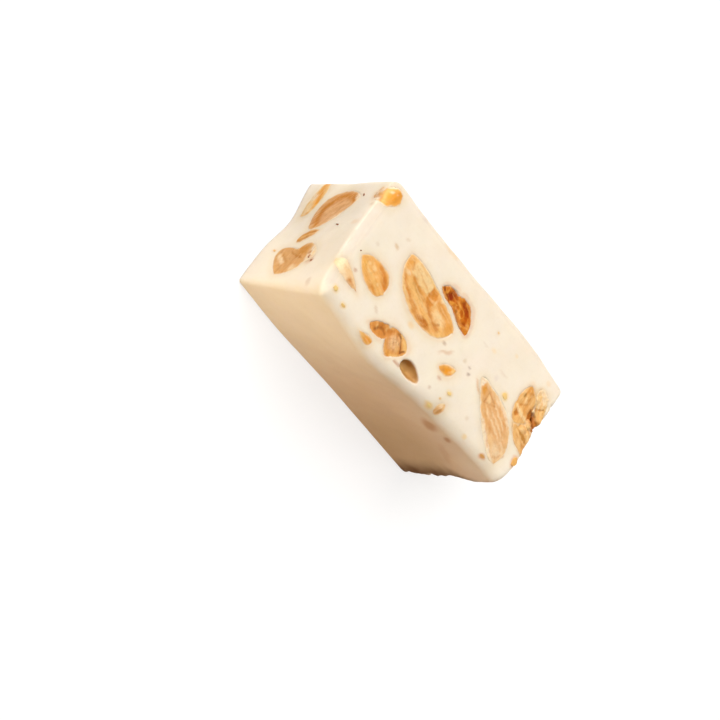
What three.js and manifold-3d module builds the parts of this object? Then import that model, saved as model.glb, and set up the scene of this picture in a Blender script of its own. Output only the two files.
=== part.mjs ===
// Hand-cut bar of soft white nougat with whole, split and broken roasted almonds.
//
// The bar lies on one cut face. Its frame has +X along the bar, +Z up and the origin in the middle of
// the base, and every size is in millimetres. The nougat is one block with soft edges, slightly out of
// square. The almonds are solids of their own: each one sits in a pocket of the nougat and is cut off
// flush with the face that shows it, as a knife leaves it. At one end a corner has crumbled away, and
// three almond fragments stand out of the break.

import * as THREE from "three";
import { mergeVertices } from "three/addons/utils/BufferGeometryUtils.js";
import Module from "manifold-3d";

// ---------------------------------------------------------------- driving dimensions

const BAR = { length: 72, width: 31, height: 33.5 };
const GRID = { length: 24, width: 12, height: 12 }; // segments of the block's faces
const ROUND_STEPS = 2; // of those segments, the ones in each rounded edge

// How far the faces round off into their edges, at the low and the high end of each axis, and for each
// of those at the base and at the top of the bar.
const ROUNDING = {
  x: { low: [0.9, 2.2], high: [1.6, 1.5] },
  y: { low: [1.0, 3.4], high: [1.0, 1.8] },
  z: { low: [0.9, 0.9], high: [2.2, 2.2] },
};

// The block is a little out of square: where each corner lies, against a true box.
const CORNER_SHIFTS = [
  { corner: [-1, -1, -1], shift: [0.5, 0.3, 0] },
  { corner: [-1, -1, 1], shift: [0.2, -0.8, -0.3] },
  { corner: [-1, 1, 1], shift: [-0.5, 0.3, -0.1] },
  { corner: [1, -1, -1], shift: [-0.5, -0.6, 0] },
  { corner: [1, -1, 1], shift: [-0.5, 1.5, 0.3] },
  { corner: [1, 1, 1], shift: [0.8, -0.6, 0.4] },
];

// Soft swellings and hollows of the faces: the push is full at its centre and fades over its reach.
const SWELLS = [
  { at: [-14, -15.5, 33.5], reach: [15, 12, 16], push: [0, -2.9, 0] }, // lower ridge, near end
  { at: [14, -15.5, 33.5], reach: [12, 12, 14], push: [0, -0.9, 0] }, // lower ridge, far end
  { at: [-36, 1, 33.5], reach: [8, 17, 12], push: [-1.5, 0, 0] }, // near end's upper edge
  { at: [-36, 4.5, 0], reach: [8, 7, 12], push: [1.7, 0, 0] }, // near end's lower edge
  { at: [-20, -15.5, 0], reach: [14, 8, 14], push: [0, -0.6, 0] }, // lower edge of the shaded side
  { at: [18, 15.5, 33.5], reach: [22, 10, 20], push: [0, 1.7, 0] }, // upper ridge, far half
  { at: [36, -15.5, 22], reach: [7, 7, 6], push: [-0.8, 0, 0] }, // far end's side edge
  { at: [36, -8, 33.5], reach: [8, 6, 9], push: [1.1, 0, 0] }, // far end's upper edge
  { at: [36, 1, 14], reach: [8, 9, 9], push: [0.7, 0, 0] }, // far end's middle
];

// Low waves over the faces, each with a height, a direction in radians per millimetre and a phase.
const WAVES = [
  { height: 0.16, per: [0.21, 0.33, 0.12], phase: 0.7 },
  { height: 0.12, per: [-0.38, 0.22, 0.31], phase: 2.1 },
  { height: 0.08, per: [0.55, -0.41, 0.48], phase: 4.0 },
  { height: 0.05, per: [0.9, 0.7, -0.8], phase: 1.3 },
];
const WAVES_START = [1, 6]; // heights above the base between which the waves come in

const POCKET_GAP = 0.3; // between an almond and the nougat round it
const WELD = 1e-4; // vertices closer than this are one
const KERNEL = { sides: 12, steps: 8 }; // facets round and along a kernel

// ---------------------------------------------------------------- the almonds

// The faces that show almonds: a point on the face, its two in-plane directions and its outward normal.
const FACES = {
  top: { origin: [0, 0, BAR.height], u: [1, 0, 0], v: [0, 1, 0], out: [0, 0, 1] },
  base: { origin: [0, 0, 0], u: [1, 0, 0], v: [0, 1, 0], out: [0, 0, -1] },
  near_end: { origin: [-BAR.length / 2, 0, 0], u: [0, 1, 0], v: [0, 0, 1], out: [-1, 0, 0] },
  far_end: { origin: [BAR.length / 2, 0, 0], u: [0, 1, 0], v: [0, 0, 1], out: [1, 0, 0] },
  far_side: { origin: [0, BAR.width / 2, 0], u: [1, 0, 0], v: [0, 0, 1], out: [0, 1, 0] },
};

// A whole or split almond is one kernel, and a broken one is two that overlap. "at" is a kernel's middle
// on its face, "angle" turns its tip from the face's u towards v, and "size" is its length, width and
// thickness. "lean" bows it to one side, from -1 to 1. "ends" says how its blunt end and its tip draw
// in: 0.5 is round, and a higher power is sharper. "depth" sinks its middle below the face.
const ALMONDS = [
  { name: "almond_large", face: "top", kernels: [
    { at: [-12.1, 4.1], angle: 169, size: [21.8, 9.4, 8.5], lean: 0.6, ends: [0.45, 0.45] } ] },
  { name: "almond_small", face: "top", kernels: [
    { at: [-27.6, -3.9], angle: 166, size: [10.3, 6.4, 7], lean: -0.17, ends: [0.37, 0.65] } ] },
  { name: "almond_dark", face: "top", kernels: [
    { at: [-8, 6.7], angle: 353, size: [5.8, 3.5, 5], lean: 0.48, ends: [0.6, 0.4] },
    { at: [-2.6, 5.4], angle: 337, size: [10.1, 5, 6], lean: 0.6, ends: [0.6, 0.7] } ] },
  { name: "almond_broken", face: "top", kernels: [
    { at: [-18.6, -9.3], angle: 204, size: [6.6, 3.8, 5], lean: 0.3, ends: [0.35, 0.7] },
    { at: [-13.9, -9.5], angle: 125, size: [6.7, 7, 6], lean: -0.5, ends: [0.35, 0.7] } ] },
  { name: "almond_ribbed", face: "top", kernels: [
    { at: [21.6, -5.9], angle: 147, size: [21.6, 8.3, 7.5], lean: -0.5, ends: [0.55, 0.9] } ] },
  { name: "almond_pale_sliver", face: "top", kernels: [
    { at: [-32, -8.4], angle: 344, size: [8.8, 2.8, 4], lean: 0, ends: [0.4, 1.05] } ] },
  { name: "almond_round", face: "top", kernels: [
    { at: [-34.5, 11], angle: 50, size: [5.7, 4.4, 7], lean: 0, ends: [0.5, 0.5], depth: 0.8 } ] },
  { name: "chip_ridge", face: "top", kernels: [
    { at: [-20.2, -12.9], angle: 186, size: [4.7, 1.9, 3.2], lean: 0.5, ends: [0.4, 1.1] } ] },
  { name: "chip_golden", face: "top", kernels: [
    { at: [3.3, -4.8], angle: 28, size: [5.6, 2.5, 3.4], lean: -0.42, ends: [0.77, 0.73] } ] },
  { name: "chip_round", face: "top", kernels: [
    { at: [8.7, -13], angle: 76, size: [3.3, 2.4, 2.6], lean: 0, ends: [0.4, 0.6] } ] },
  { name: "corner_fragment_upper", face: "top", kernels: [
    { at: [27.3, 4.1], angle: 277, size: [10.2, 6.3, 7], lean: 0.32, ends: [0.8, 0.55] } ] },
  { name: "corner_fragment_lower", face: "top", kernels: [
    { at: [32.3, -3.5], angle: 337, size: [9.7, 5.4, 7], lean: 0.55, ends: [0.9, 1] } ] },
  { name: "corner_fragment_outer", face: "top", kernels: [
    { at: [31.9, 6], angle: 304, size: [9.2, 3.9, 7], lean: 0.6, ends: [0.4, 0.65] } ] },
  { name: "end_almond_large", face: "near_end", kernels: [
    { at: [6.2, 17.6], angle: 235, size: [15, 9.7, 8], lean: 0.41, ends: [0.65, 0.38] } ] },
  { name: "end_almond_split", face: "near_end", kernels: [
    { at: [-8.9, 13.3], angle: 196, size: [7.7, 12.4, 8], lean: 0.04, ends: [0.43, 0.85] },
    { at: [-7, 18.7], angle: 255, size: [7.9, 6.4, 6], lean: 0.31, ends: [0.7, 0.42] } ] },
  { name: "end_almond_strip", face: "near_end", kernels: [
    { at: [-1.2, 14.4], angle: 60, size: [7, 2.9, 4], lean: -0.44, ends: [0.38, 0.7] } ] },
  { name: "end_almond_sliver", face: "near_end", kernels: [
    { at: [10.8, 5.4], angle: 200, size: [10.5, 4.6, 5], lean: -0.5, ends: [0.44, 0.42] } ] },
  { name: "far_end_large", face: "far_end", kernels: [
    { at: [-3.5, 12.5], angle: 28, size: [20, 9.5, 8], lean: 0.25, ends: [0.5, 0.7] } ] },
  { name: "far_end_small", face: "far_end", kernels: [
    { at: [9.3, 16.5], angle: 105, size: [11, 6.4, 7], lean: -0.3, ends: [0.4, 0.65] } ] },
  { name: "far_end_chip", face: "far_end", kernels: [
    { at: [-9.5, 22], angle: 345, size: [6.5, 3.4, 4], lean: 0.3, ends: [0.6, 0.8] } ] },
  { name: "far_side_large", face: "far_side", kernels: [
    { at: [15, 19], angle: 328, size: [16, 6.6, 6], lean: 0.3, ends: [0.5, 0.75] } ] },
  { name: "far_side_small", face: "far_side", kernels: [
    { at: [-15, 12], angle: 24, size: [9.5, 4.4, 5], lean: -0.35, ends: [0.45, 0.7] } ] },
  { name: "base_large", face: "base", kernels: [
    { at: [-17, 4.5], angle: 38, size: [22, 10, 8], lean: 0.3, ends: [0.48, 0.65] } ] },
  { name: "base_middle", face: "base", kernels: [
    { at: [4.5, -5.5], angle: 162, size: [19, 8.6, 8], lean: -0.4, ends: [0.5, 0.6] } ] },
  { name: "base_far", face: "base", kernels: [
    { at: [23, 4.5], angle: 75, size: [14, 7.6, 7], lean: 0.2, ends: [0.45, 0.75] } ] },
  { name: "base_chip", face: "base", kernels: [
    { at: [-24, -9], angle: 10, size: [7.5, 4, 4], lean: 0.4, ends: [0.7, 0.7] } ] },
];

// The empty bed that a fallen almond left in the top face.
const EMPTY_BED = {
  face: "top", at: [-4.6, -11.6], angle: 0, size: [7.2, 3.5, 5], lean: 0.18, ends: [0.4, 0.66],
};

// The crumbled corner: bites out of the nougat alone, which leave its fragments standing.
const BREAKS = [
  { face: "top", at: [35.6, 8.2], angle: 300, size: [9, 3.2, 6], lean: 0, ends: [0.5, 0.5] },
  { face: "top", at: [36.4, 1.4], angle: 284, size: [8, 3.6, 8], lean: 0, ends: [0.5, 0.5] },
];

// The crack between the fragments, from the broken edge inwards.
const CRACK = {
  face: "top", at: [33.4, 2.9], angle: 160, size: [9, 1.6, 7], lean: 0, ends: [0.5, 0.8],
};

const COLOURS = {
  nougat: { color: 0xf8ead2, roughness: 0.55 },
  golden: { color: 0xe7a257, roughness: 0.6 },
  tan: { color: 0xdca874, roughness: 0.6 },
  pale: { color: 0xf3cf9b, roughness: 0.6 },
  dark: { color: 0xa85714, roughness: 0.5 },
};
const ALMOND_COLOURS = {
  almond_dark: "dark",
  almond_pale_sliver: "pale",
  end_almond_large: "tan",
  end_almond_split: "tan",
  far_end_small: "tan",
  base_middle: "tan",
};

// ---------------------------------------------------------------- the block's form

// Weight of a box corner at a point: 1 at the corner, 0 at the others.
function cornerWeight(point, corner) {
  const x = (1 + (corner[0] * point.x * 2) / BAR.length) / 2;
  const y = (1 + (corner[1] * point.y * 2) / BAR.width) / 2;
  const z = (1 + corner[2] * ((point.z * 2) / BAR.height - 1)) / 2;
  return x * y * z;
}

// Where a point of the true box lies on the real, slightly crooked bar.
function warped(point) {
  const moved = point.clone();
  for (const { corner, shift } of CORNER_SHIFTS) {
    moved.addScaledVector(new THREE.Vector3(...shift), cornerWeight(point, corner));
  }
  for (const { at, reach, push } of SWELLS) {
    const distance =
      ((point.x - at[0]) / reach[0]) ** 2 +
      ((point.y - at[1]) / reach[1]) ** 2 +
      ((point.z - at[2]) / reach[2]) ** 2;
    moved.addScaledVector(new THREE.Vector3(...push), Math.exp(-distance));
  }
  return moved;
}

// Height of the low waves over the face at a point. The base stays flat.
function relief(point) {
  const fade = THREE.MathUtils.smoothstep(point.z, ...WAVES_START);
  const waves = WAVES.reduce((sum, { height, per, phase }) => {
    return sum + height * Math.sin(point.x * per[0] + point.y * per[1] + point.z * per[2] + phase);
  }, 0);
  return fade * waves;
}

// Place of a grid step along one axis of the box: the outer steps lie in the rounded edges.
function alongAxis(fraction, segments, half, [low, high]) {
  const step = Math.round((fraction + 0.5) * segments);
  const inner = segments - 2 * ROUND_STEPS;
  if (step < ROUND_STEPS) return -half + (low * step) / ROUND_STEPS;
  if (step > segments - ROUND_STEPS) return half - (high * (segments - step)) / ROUND_STEPS;
  return -half + low + ((step - ROUND_STEPS) / inner) * (2 * half - low - high);
}

// A place along an axis, split into its core and its share of the rounded edge, from -1 to 1.
function intoRounding(value, half, [low, high]) {
  const core = THREE.MathUtils.clamp(value, -half + low, half - high);
  const radius = value < core ? low : high;
  return { core, radius, share: (value - core) / radius };
}

// A point of the rounded box and its outward normal, for a point of the unit cube.
function roundedBoxPoint(cube) {
  const half = { x: BAR.length / 2, y: BAR.width / 2, z: BAR.height / 2 };
  const segments = { x: GRID.length, y: GRID.width, z: GRID.height };
  const point = new THREE.Vector3();
  const normal = new THREE.Vector3();
  const split = {};
  for (const axis of ["x", "y", "z"]) {
    const { low, high } = ROUNDING[axis];
    const radii = [low, high].map(([base, top]) => THREE.MathUtils.lerp(base, top, cube.z + 0.5));
    const value = alongAxis(cube[axis], segments[axis], half[axis], radii);
    split[axis] = intoRounding(value, half[axis], radii);
    normal[axis] = split[axis].share;
  }
  normal.normalize();
  for (const axis of ["x", "y", "z"]) {
    point[axis] = split[axis].core + split[axis].radius * normal[axis];
  }
  point.z += half.z;
  return { point, normal };
}

function blockGeometry() {
  const geometry = new THREE.BoxGeometry(1, 1, 1, GRID.length, GRID.width, GRID.height);
  const position = geometry.getAttribute("position");
  for (let i = 0; i < position.count; i++) {
    const { point, normal } = roundedBoxPoint(new THREE.Vector3().fromBufferAttribute(position, i));
    const placed = warped(point).addScaledVector(normal, relief(point));
    const onBase = normal.z === -1;
    position.setXYZ(i, placed.x, placed.y, onBase ? 0 : Math.max(0, placed.z));
  }
  return geometry;
}

// ---------------------------------------------------------------- kernels

// Half the kernel's width at t, from its blunt end at -1 to its tip at 1, with a greatest value of 1.
function kernelOutline(t, [blunt, tip]) {
  const widest = (blunt - tip) / (blunt + tip);
  const half = (s) => Math.pow(Math.max(0, 1 + s), blunt) * Math.pow(Math.max(0, 1 - s), tip);
  return half(t) / half(widest);
}

// A kernel about its own middle: length along x, width along y and thickness along z.
function kernelGeometry([length, width, thickness], lean, ends) {
  const profile = [];
  for (let step = 0; step <= KERNEL.steps; step++) {
    const t = -Math.cos((Math.PI * step) / KERNEL.steps);
    profile.push(new THREE.Vector2(kernelOutline(t, ends), t));
  }
  profile[0].x = 0;
  profile[KERNEL.steps].x = 0;
  const kernel = new THREE.LatheGeometry(profile, KERNEL.sides);
  kernel.rotateZ(-Math.PI / 2);
  const position = kernel.getAttribute("position");
  for (let i = 0; i < position.count; i++) {
    const bow = lean * kernelOutline(position.getX(i), ends);
    position.setY(i, position.getY(i) + bow);
  }
  kernel.scale(length / 2, width / 2, thickness / 2);
  return kernel;
}

// Places a kernel: turned in its face, with its middle on the real surface or sunk below it.
function kernelMatrix(face, { at, angle, depth = 0 }) {
  const { origin, u, v, out } = FACES[face];
  const along = new THREE.Vector3(...u);
  const across = new THREE.Vector3(...v);
  const point = new THREE.Vector3(...origin)
    .addScaledVector(along, at[0])
    .addScaledVector(across, at[1]);
  const middle = warped(point).addScaledVector(new THREE.Vector3(...out), -depth);
  return new THREE.Matrix4()
    .makeBasis(along, across, new THREE.Vector3().crossVectors(along, across))
    .setPosition(middle)
    .multiply(new THREE.Matrix4().makeRotationZ(THREE.MathUtils.degToRad(angle)));
}

// ---------------------------------------------------------------- solids

const wasm = await Module();
wasm.setup();

function solidFrom(geometry) {
  const bare = geometry.clone();
  bare.deleteAttribute("normal");
  bare.deleteAttribute("uv");
  const merged = mergeVertices(bare, WELD);
  return new wasm.Manifold(
    new wasm.Mesh({
      numProp: 3,
      vertProperties: merged.getAttribute("position").array,
      triVerts: new Uint32Array(merged.index.array),
    }),
  );
}

// One kernel as a solid, grown by a gap on every side.
function kernelSolid(face, kernel, gap) {
  const size = kernel.size.map((side) => side + 2 * gap);
  const geometry = kernelGeometry(size, kernel.lean, kernel.ends);
  return solidFrom(geometry.applyMatrix4(kernelMatrix(face, kernel)));
}

function almondSolid({ face, kernels }, gap) {
  return kernels
    .map((kernel) => kernelSolid(face, kernel, gap))
    .reduce((all, one) => all.add(one));
}

function meshFrom(solid, name, look) {
  const { numProp, vertProperties, triVerts } = solid.getMesh();
  const geometry = new THREE.BufferGeometry();
  geometry.setAttribute("position", new THREE.BufferAttribute(vertProperties, numProp));
  geometry.setIndex(new THREE.BufferAttribute(triVerts, 1));
  geometry.computeVertexNormals();
  const mesh = new THREE.Mesh(geometry, new THREE.MeshStandardMaterial({ metalness: 0, ...look }));
  mesh.name = name;
  return mesh;
}

// ---------------------------------------------------------------- the bar

const bar = new THREE.Group();
bar.name = "nougat_bar";

const block = solidFrom(blockGeometry());
const crack = kernelSolid(CRACK.face, CRACK, 0);
let nougat = block.subtract(kernelSolid(EMPTY_BED.face, EMPTY_BED, 0)).subtract(crack);
for (const bite of BREAKS) {
  nougat = nougat.subtract(kernelSolid(bite.face, bite, 0));
}

let taken = crack; // where no further almond may lie
for (const almond of ALMONDS) {
  const pocket = almondSolid(almond, POCKET_GAP);
  const kernel = almondSolid(almond, 0).intersect(block).subtract(taken);
  nougat = nougat.subtract(pocket);
  taken = taken.add(pocket);
  bar.add(meshFrom(kernel, almond.name, COLOURS[ALMOND_COLOURS[almond.name] ?? "golden"]));
}
bar.add(meshFrom(nougat, "nougat", COLOURS.nougat));

// The origin is in the middle of the base.
const extent = new THREE.Box3().setFromObject(bar);
const middle = extent.getCenter(new THREE.Vector3());
bar.position.set(-middle.x, -middle.y, -extent.min.z);

export default bar;
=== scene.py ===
"""Looks of the nougat bar: soft white nougat with cut almonds in its faces.

All shapes are worked out in millimetres in the block's own frame: x along the bar, z up, and the origin
in the middle of the true box's base. A mesh is moved to the row frame, in metres, when it is finished.
"""

import itertools
import math
from dataclasses import dataclass
from typing import NamedTuple

import bmesh
import bpy
import numpy as np
from mathutils import Euler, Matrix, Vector
from mathutils.bvhtree import BVHTree
from mathutils.kdtree import KDTree

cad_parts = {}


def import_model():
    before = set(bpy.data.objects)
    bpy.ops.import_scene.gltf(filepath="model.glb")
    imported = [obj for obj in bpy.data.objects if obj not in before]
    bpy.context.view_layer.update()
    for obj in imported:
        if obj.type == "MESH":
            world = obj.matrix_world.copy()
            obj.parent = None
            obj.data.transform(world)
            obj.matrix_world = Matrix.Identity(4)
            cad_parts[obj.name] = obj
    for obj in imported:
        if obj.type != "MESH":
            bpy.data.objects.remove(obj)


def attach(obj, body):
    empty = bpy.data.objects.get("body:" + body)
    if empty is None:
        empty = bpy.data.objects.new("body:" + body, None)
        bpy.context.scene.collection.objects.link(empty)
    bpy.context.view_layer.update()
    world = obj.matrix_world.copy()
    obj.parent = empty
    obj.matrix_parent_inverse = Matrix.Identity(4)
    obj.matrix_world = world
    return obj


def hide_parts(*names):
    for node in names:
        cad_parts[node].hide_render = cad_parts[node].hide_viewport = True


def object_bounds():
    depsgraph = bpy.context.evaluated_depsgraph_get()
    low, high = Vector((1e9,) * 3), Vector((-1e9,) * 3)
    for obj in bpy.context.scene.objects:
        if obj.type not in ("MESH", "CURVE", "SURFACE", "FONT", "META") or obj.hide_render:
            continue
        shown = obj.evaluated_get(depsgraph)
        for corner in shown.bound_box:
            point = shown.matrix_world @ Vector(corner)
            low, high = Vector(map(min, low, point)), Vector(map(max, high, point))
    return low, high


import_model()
CAD_BOX = [list(corner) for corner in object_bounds()]

MM = 0.001

# ---- the block, as in the CAD model

BAR = np.array([72.0, 31.0, 33.5])
LOWEST = np.array([-BAR[0] / 2, -BAR[1] / 2, 0.0])
HIGHEST = np.array([BAR[0] / 2, BAR[1] / 2, BAR[2]])

# Reach of the rounded edges at the low and at the high end of each axis: at the base and at the top.
ROUND_LOW = np.array([[0.9, 2.2], [1.0, 3.4], [0.9, 0.9]])
ROUND_HIGH = np.array([[1.6, 1.5], [1.0, 1.8], [2.2, 2.2]])

CORNER_SHIFTS = [
    ((-1, -1, -1), (0.5, 0.3, 0)),
    ((-1, -1, 1), (0.2, -0.8, -0.3)),
    ((-1, 1, 1), (-0.5, 0.3, -0.1)),
    ((1, -1, -1), (-0.5, -0.6, 0)),
    ((1, -1, 1), (-0.5, 1.5, 0.3)),
    ((1, 1, 1), (0.8, -0.6, 0.4)),
]
SWELLS = [  # centre, reach and push
    ((-14, -15.5, 33.5), (15, 12, 16), (0, -2.9, 0)),
    ((14, -15.5, 33.5), (12, 12, 14), (0, -0.9, 0)),
    ((-36, 1, 33.5), (8, 17, 12), (-1.5, 0, 0)),
    ((-36, 4.5, 0), (8, 7, 12), (1.7, 0, 0)),
    ((-20, -15.5, 0), (14, 8, 14), (0, -0.6, 0)),
    ((18, 15.5, 33.5), (22, 10, 20), (0, 1.7, 0)),
    ((36, -15.5, 22), (7, 7, 6), (-0.8, 0, 0)),
    ((36, -8, 33.5), (8, 6, 9), (1.1, 0, 0)),
    ((36, 1, 14), (8, 9, 9), (0.7, 0, 0)),
    ((17, -15.5, 33.5), (20, 6, 7), (0, 0.9, -0.9)),  # not in the CAD model: it softens the shaded ridge
    ((36, -15.5, 26), (9, 8, 7), (0.3, -0.8, 0)),  # nor is this one, below the ridge's far corner
]
WAVES = [  # weaker than in the CAD model: height, radians per millimetre and phase
    (0.048, (0.21, 0.33, 0.12), 0.7),
    (0.036, (-0.38, 0.22, 0.31), 2.1),
    (0.024, (0.55, -0.41, 0.48), 4.0),
    (0.015, (0.9, 0.7, -0.8), 1.3),
]
WAVES_START = (1, 6)  # they set in between these heights

FACES = {  # a point of the face, its two in-plane directions and its outward normal
    "top": ((0, 0, BAR[2]), (1, 0, 0), (0, 1, 0), (0, 0, 1)),
    "base": ((0, 0, 0), (1, 0, 0), (0, 1, 0), (0, 0, -1)),
    "near_end": ((-BAR[0] / 2, 0, 0), (0, 1, 0), (0, 0, 1), (-1, 0, 0)),
    "far_end": ((BAR[0] / 2, 0, 0), (0, 1, 0), (0, 0, 1), (1, 0, 0)),
    "far_side": ((0, BAR[1] / 2, 0), (1, 0, 0), (0, 0, 1), (0, 1, 0)),
    "shade_side": ((0, -BAR[1] / 2, 0), (1, 0, 0), (0, 0, 1), (0, -1, 0)),
}

GRID = np.array([120, 56, 58])  # cells of the fine block along each axis
EDGE_STEPS = 6  # of those, the ones in each rounded edge
NOUGAT_VOXEL = 0.4
ALMOND_VOXEL = 0.16
LIP = 0.15  # how far the nougat overlaps an almond's edge
TUCK = 0.5  # how far an almond that is flush with the nougat reaches under it
SHIFT = np.array([0.409, 0.813, 0.0])  # from the block's own frame to the row frame


# ---- small tools


def srgb(colour):
    """A display colour, each part from 0 to 255, as linear light."""
    value = np.array(colour) / 255
    return np.where(value <= 0.04045, value / 12.92, ((value + 0.055) / 1.055) ** 2.4)


def blend(colours, share, colour):
    """Moves the points' colours towards a display colour, each point by its own share."""
    colours += share[:, None] * (srgb(colour) - colours)


def ramp(value, start, end):
    """0 at start, 1 at end and smooth in between. Start may be the larger one."""
    share = np.clip((value - start) / (end - start), 0, 1)
    return share * share * (3 - 2 * share)


def hashed(cell, seed):
    """Random bits for cells of a grid, the same ones each run."""
    mixed = (cell[..., 0] * 73856093) ^ (cell[..., 1] * 19349663) ^ (cell[..., 2] * 83492791)
    mixed = (mixed ^ (seed * 40503 + 2166136261)) * 2654435761 & 0xFFFFFFFF
    mixed = ((mixed ^ (mixed >> 15)) * 2246822519) & 0xFFFFFFFF
    return mixed ^ (mixed >> 13)


def noise(points, period, seed):
    """Smooth noise from about -1 to 1 whose bumps are a period apart. A period may have three parts."""
    place = np.asarray(points, float) / period + 500.0
    cell = np.floor(place).astype(np.int64)
    within = place - cell
    weight = within**3 * (within * (6 * within - 15) + 10)
    total = np.zeros(len(place))
    for corner in itertools.product((0, 1), repeat=3):
        bits = hashed(cell + np.array(corner), seed)
        slope = np.stack([bits & 255, (bits >> 8) & 255, (bits >> 16) & 255], -1) / 127.5 - 1
        height = ((within - corner) * slope).sum(-1)
        total += height * np.where(corner, weight, 1 - weight).prod(-1)
    return total * 1.5


def layered(points, period, layers, seed):
    """Noise with finer and fainter layers on top."""
    total = np.zeros(len(points))
    for layer in range(layers):
        total += noise(points, np.asarray(period) / 2**layer, seed + layer) / 2**layer
    return total


# ---- form of the block


def warped(points):
    """Where points of the true box lie on the real, slightly crooked bar."""
    moved = points.copy()
    for corner, shift in CORNER_SHIFTS:
        x = (1 + corner[0] * points[:, 0] * 2 / BAR[0]) / 2
        y = (1 + corner[1] * points[:, 1] * 2 / BAR[1]) / 2
        z = (1 + corner[2] * (points[:, 2] * 2 / BAR[2] - 1)) / 2
        moved += (x * y * z)[:, None] * np.array(shift)
    for centre, reach, push in SWELLS:
        distance = (((points - np.array(centre)) / np.array(reach)) ** 2).sum(1)
        moved += np.exp(-distance)[:, None] * np.array(push)
    return moved


def relief(points):
    """Height of the low waves over the faces. The base stays flat."""
    waves = sum(height * np.sin(points @ np.array(per) + phase) for height, per, phase in WAVES)
    return ramp(points[:, 2], *WAVES_START) * waves


def rounding(points):
    """Reach of the rounded edges at points of the box, at the low and at the high end of each axis."""
    up = points[:, 2:] / BAR[2]
    low = ROUND_LOW[:, 0] + (ROUND_LOW[:, 1] - ROUND_LOW[:, 0]) * up
    high = ROUND_HIGH[:, 0] + (ROUND_HIGH[:, 1] - ROUND_HIGH[:, 0]) * up
    return low, high


def on_block(points):
    """Points of the real surface and outward normals for points on the faces of the true box."""
    low, high = rounding(points)
    core = np.clip(points, LOWEST + low, HIGHEST - high)
    radius = np.where(points < core, low, high)
    normal = (points - core) / radius
    normal /= np.linalg.norm(normal, axis=1)[:, None]
    rounded = core + radius * normal
    placed = warped(rounded) + normal * relief(rounded)[:, None]
    placed[:, 2] = np.where(normal[:, 2] == -1, 0, np.maximum(placed[:, 2], 0))
    return placed, normal


def on_face(face, place):
    """The real point and the outward normal at a place on a face, given along its two directions."""
    origin, u, v, _ = np.array(FACES[face], float)
    points, normals = on_block((origin + place[0] * u + place[1] * v)[None])
    return points[0], normals[0]


def along_axis(step, cells, low_end, high_end, low, high):
    """Place of a grid step along an axis of the box: the outer steps lie in the rounded edges."""
    inner = cells - 2 * EDGE_STEPS
    flat = low_end + low + (step - EDGE_STEPS) / inner * (high_end - low_end - low - high)
    low_edge = low_end + low * step / EDGE_STEPS
    high_edge = high_end - high * (cells - step) / EDGE_STEPS
    return np.where(step < EDGE_STEPS, low_edge, np.where(step > cells - EDGE_STEPS, high_edge, flat))


def shell_of_cells(cells):
    """The whole-number points on the shell of a box of cells, and the quads between them, facing out."""
    points, quads, start = [], [], 0
    for axis in range(3):
        first, second = (axis + 1) % 3, (axis + 2) % 3
        for side in (0, cells[axis]):
            a, b = np.meshgrid(np.arange(cells[first] + 1), np.arange(cells[second] + 1), indexing="ij")
            grid = np.zeros((a.size, 3), int)
            grid[:, axis], grid[:, first], grid[:, second] = side, a.ravel(), b.ravel()
            index = start + np.arange(a.size).reshape(a.shape)
            ring = [index[:-1, :-1], index[1:, :-1], index[1:, 1:], index[:-1, 1:]]
            quads.append(np.stack(ring if side else ring[::-1], -1).reshape(-1, 4))
            points.append(grid)
            start += a.size
    unique, where = np.unique(np.concatenate(points), axis=0, return_inverse=True)
    return unique, where.reshape(-1)[np.concatenate(quads)]


def fine_block():
    """Points and quads of the whole block before anything is cut out of it."""
    steps, quads = shell_of_cells(GRID)
    points = np.zeros((len(steps), 3))
    for axis in (2, 0, 1):  # the height comes first, because the other reaches change with it
        low, high = rounding(points)
        places = along_axis(
            steps[:, axis], GRID[axis], LOWEST[axis], HIGHEST[axis], low[:, axis], high[:, axis]
        )
        points[:, axis] = places
    return on_block(points)[0], quads


# ---- kernels, as in the CAD model


class Kernel(NamedTuple):
    """An almond cut by a face: it leans to one side, and the powers of its ends shape its outline."""

    at: tuple
    angle: float
    size: tuple  # along, across and through the face
    lean: float
    ends: tuple
    depth: float = 0.0


def outline(t, ends):
    """Half the kernel's width at t, from its blunt end at -1 to its tip at 1, at most 1."""
    blunt, tip = ends
    widest = (blunt - tip) / (blunt + tip)
    half = np.clip(1 + t, 0, None) ** blunt * np.clip(1 - t, 0, None) ** tip
    return half / ((1 + widest) ** blunt * (1 - widest) ** tip)


def kernel_frame(face, one):
    """A kernel's middle and its own directions along, across and through the face, as rows."""
    origin, u, v, out = np.array(FACES[face], float)
    point = origin + one.at[0] * u + one.at[1] * v
    middle = warped(point[None])[0] - out * one.depth
    cos, sin = math.cos(math.radians(one.angle)), math.sin(math.radians(one.angle))
    return middle, np.array([cos * u + sin * v, cos * v - sin * u, np.cross(u, v)])


def local_places(face, one, points):
    """Coordinates of points along and across a kernel."""
    middle, axes = kernel_frame(face, one)
    local = (points - middle) @ axes.T
    return local[:, 0], local[:, 1]


def rim_distance(face, one, points):
    """How far inside a kernel's outline the points lie, roughly."""
    x, y = local_places(face, one, points)
    length, width = one.size[:2]
    half = outline(np.clip(x * 2 / length, -0.999, 0.999), one.ends) * width / 2
    return half - np.abs(y - one.lean * half) - np.maximum(np.abs(x) - length / 2, 0)


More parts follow.
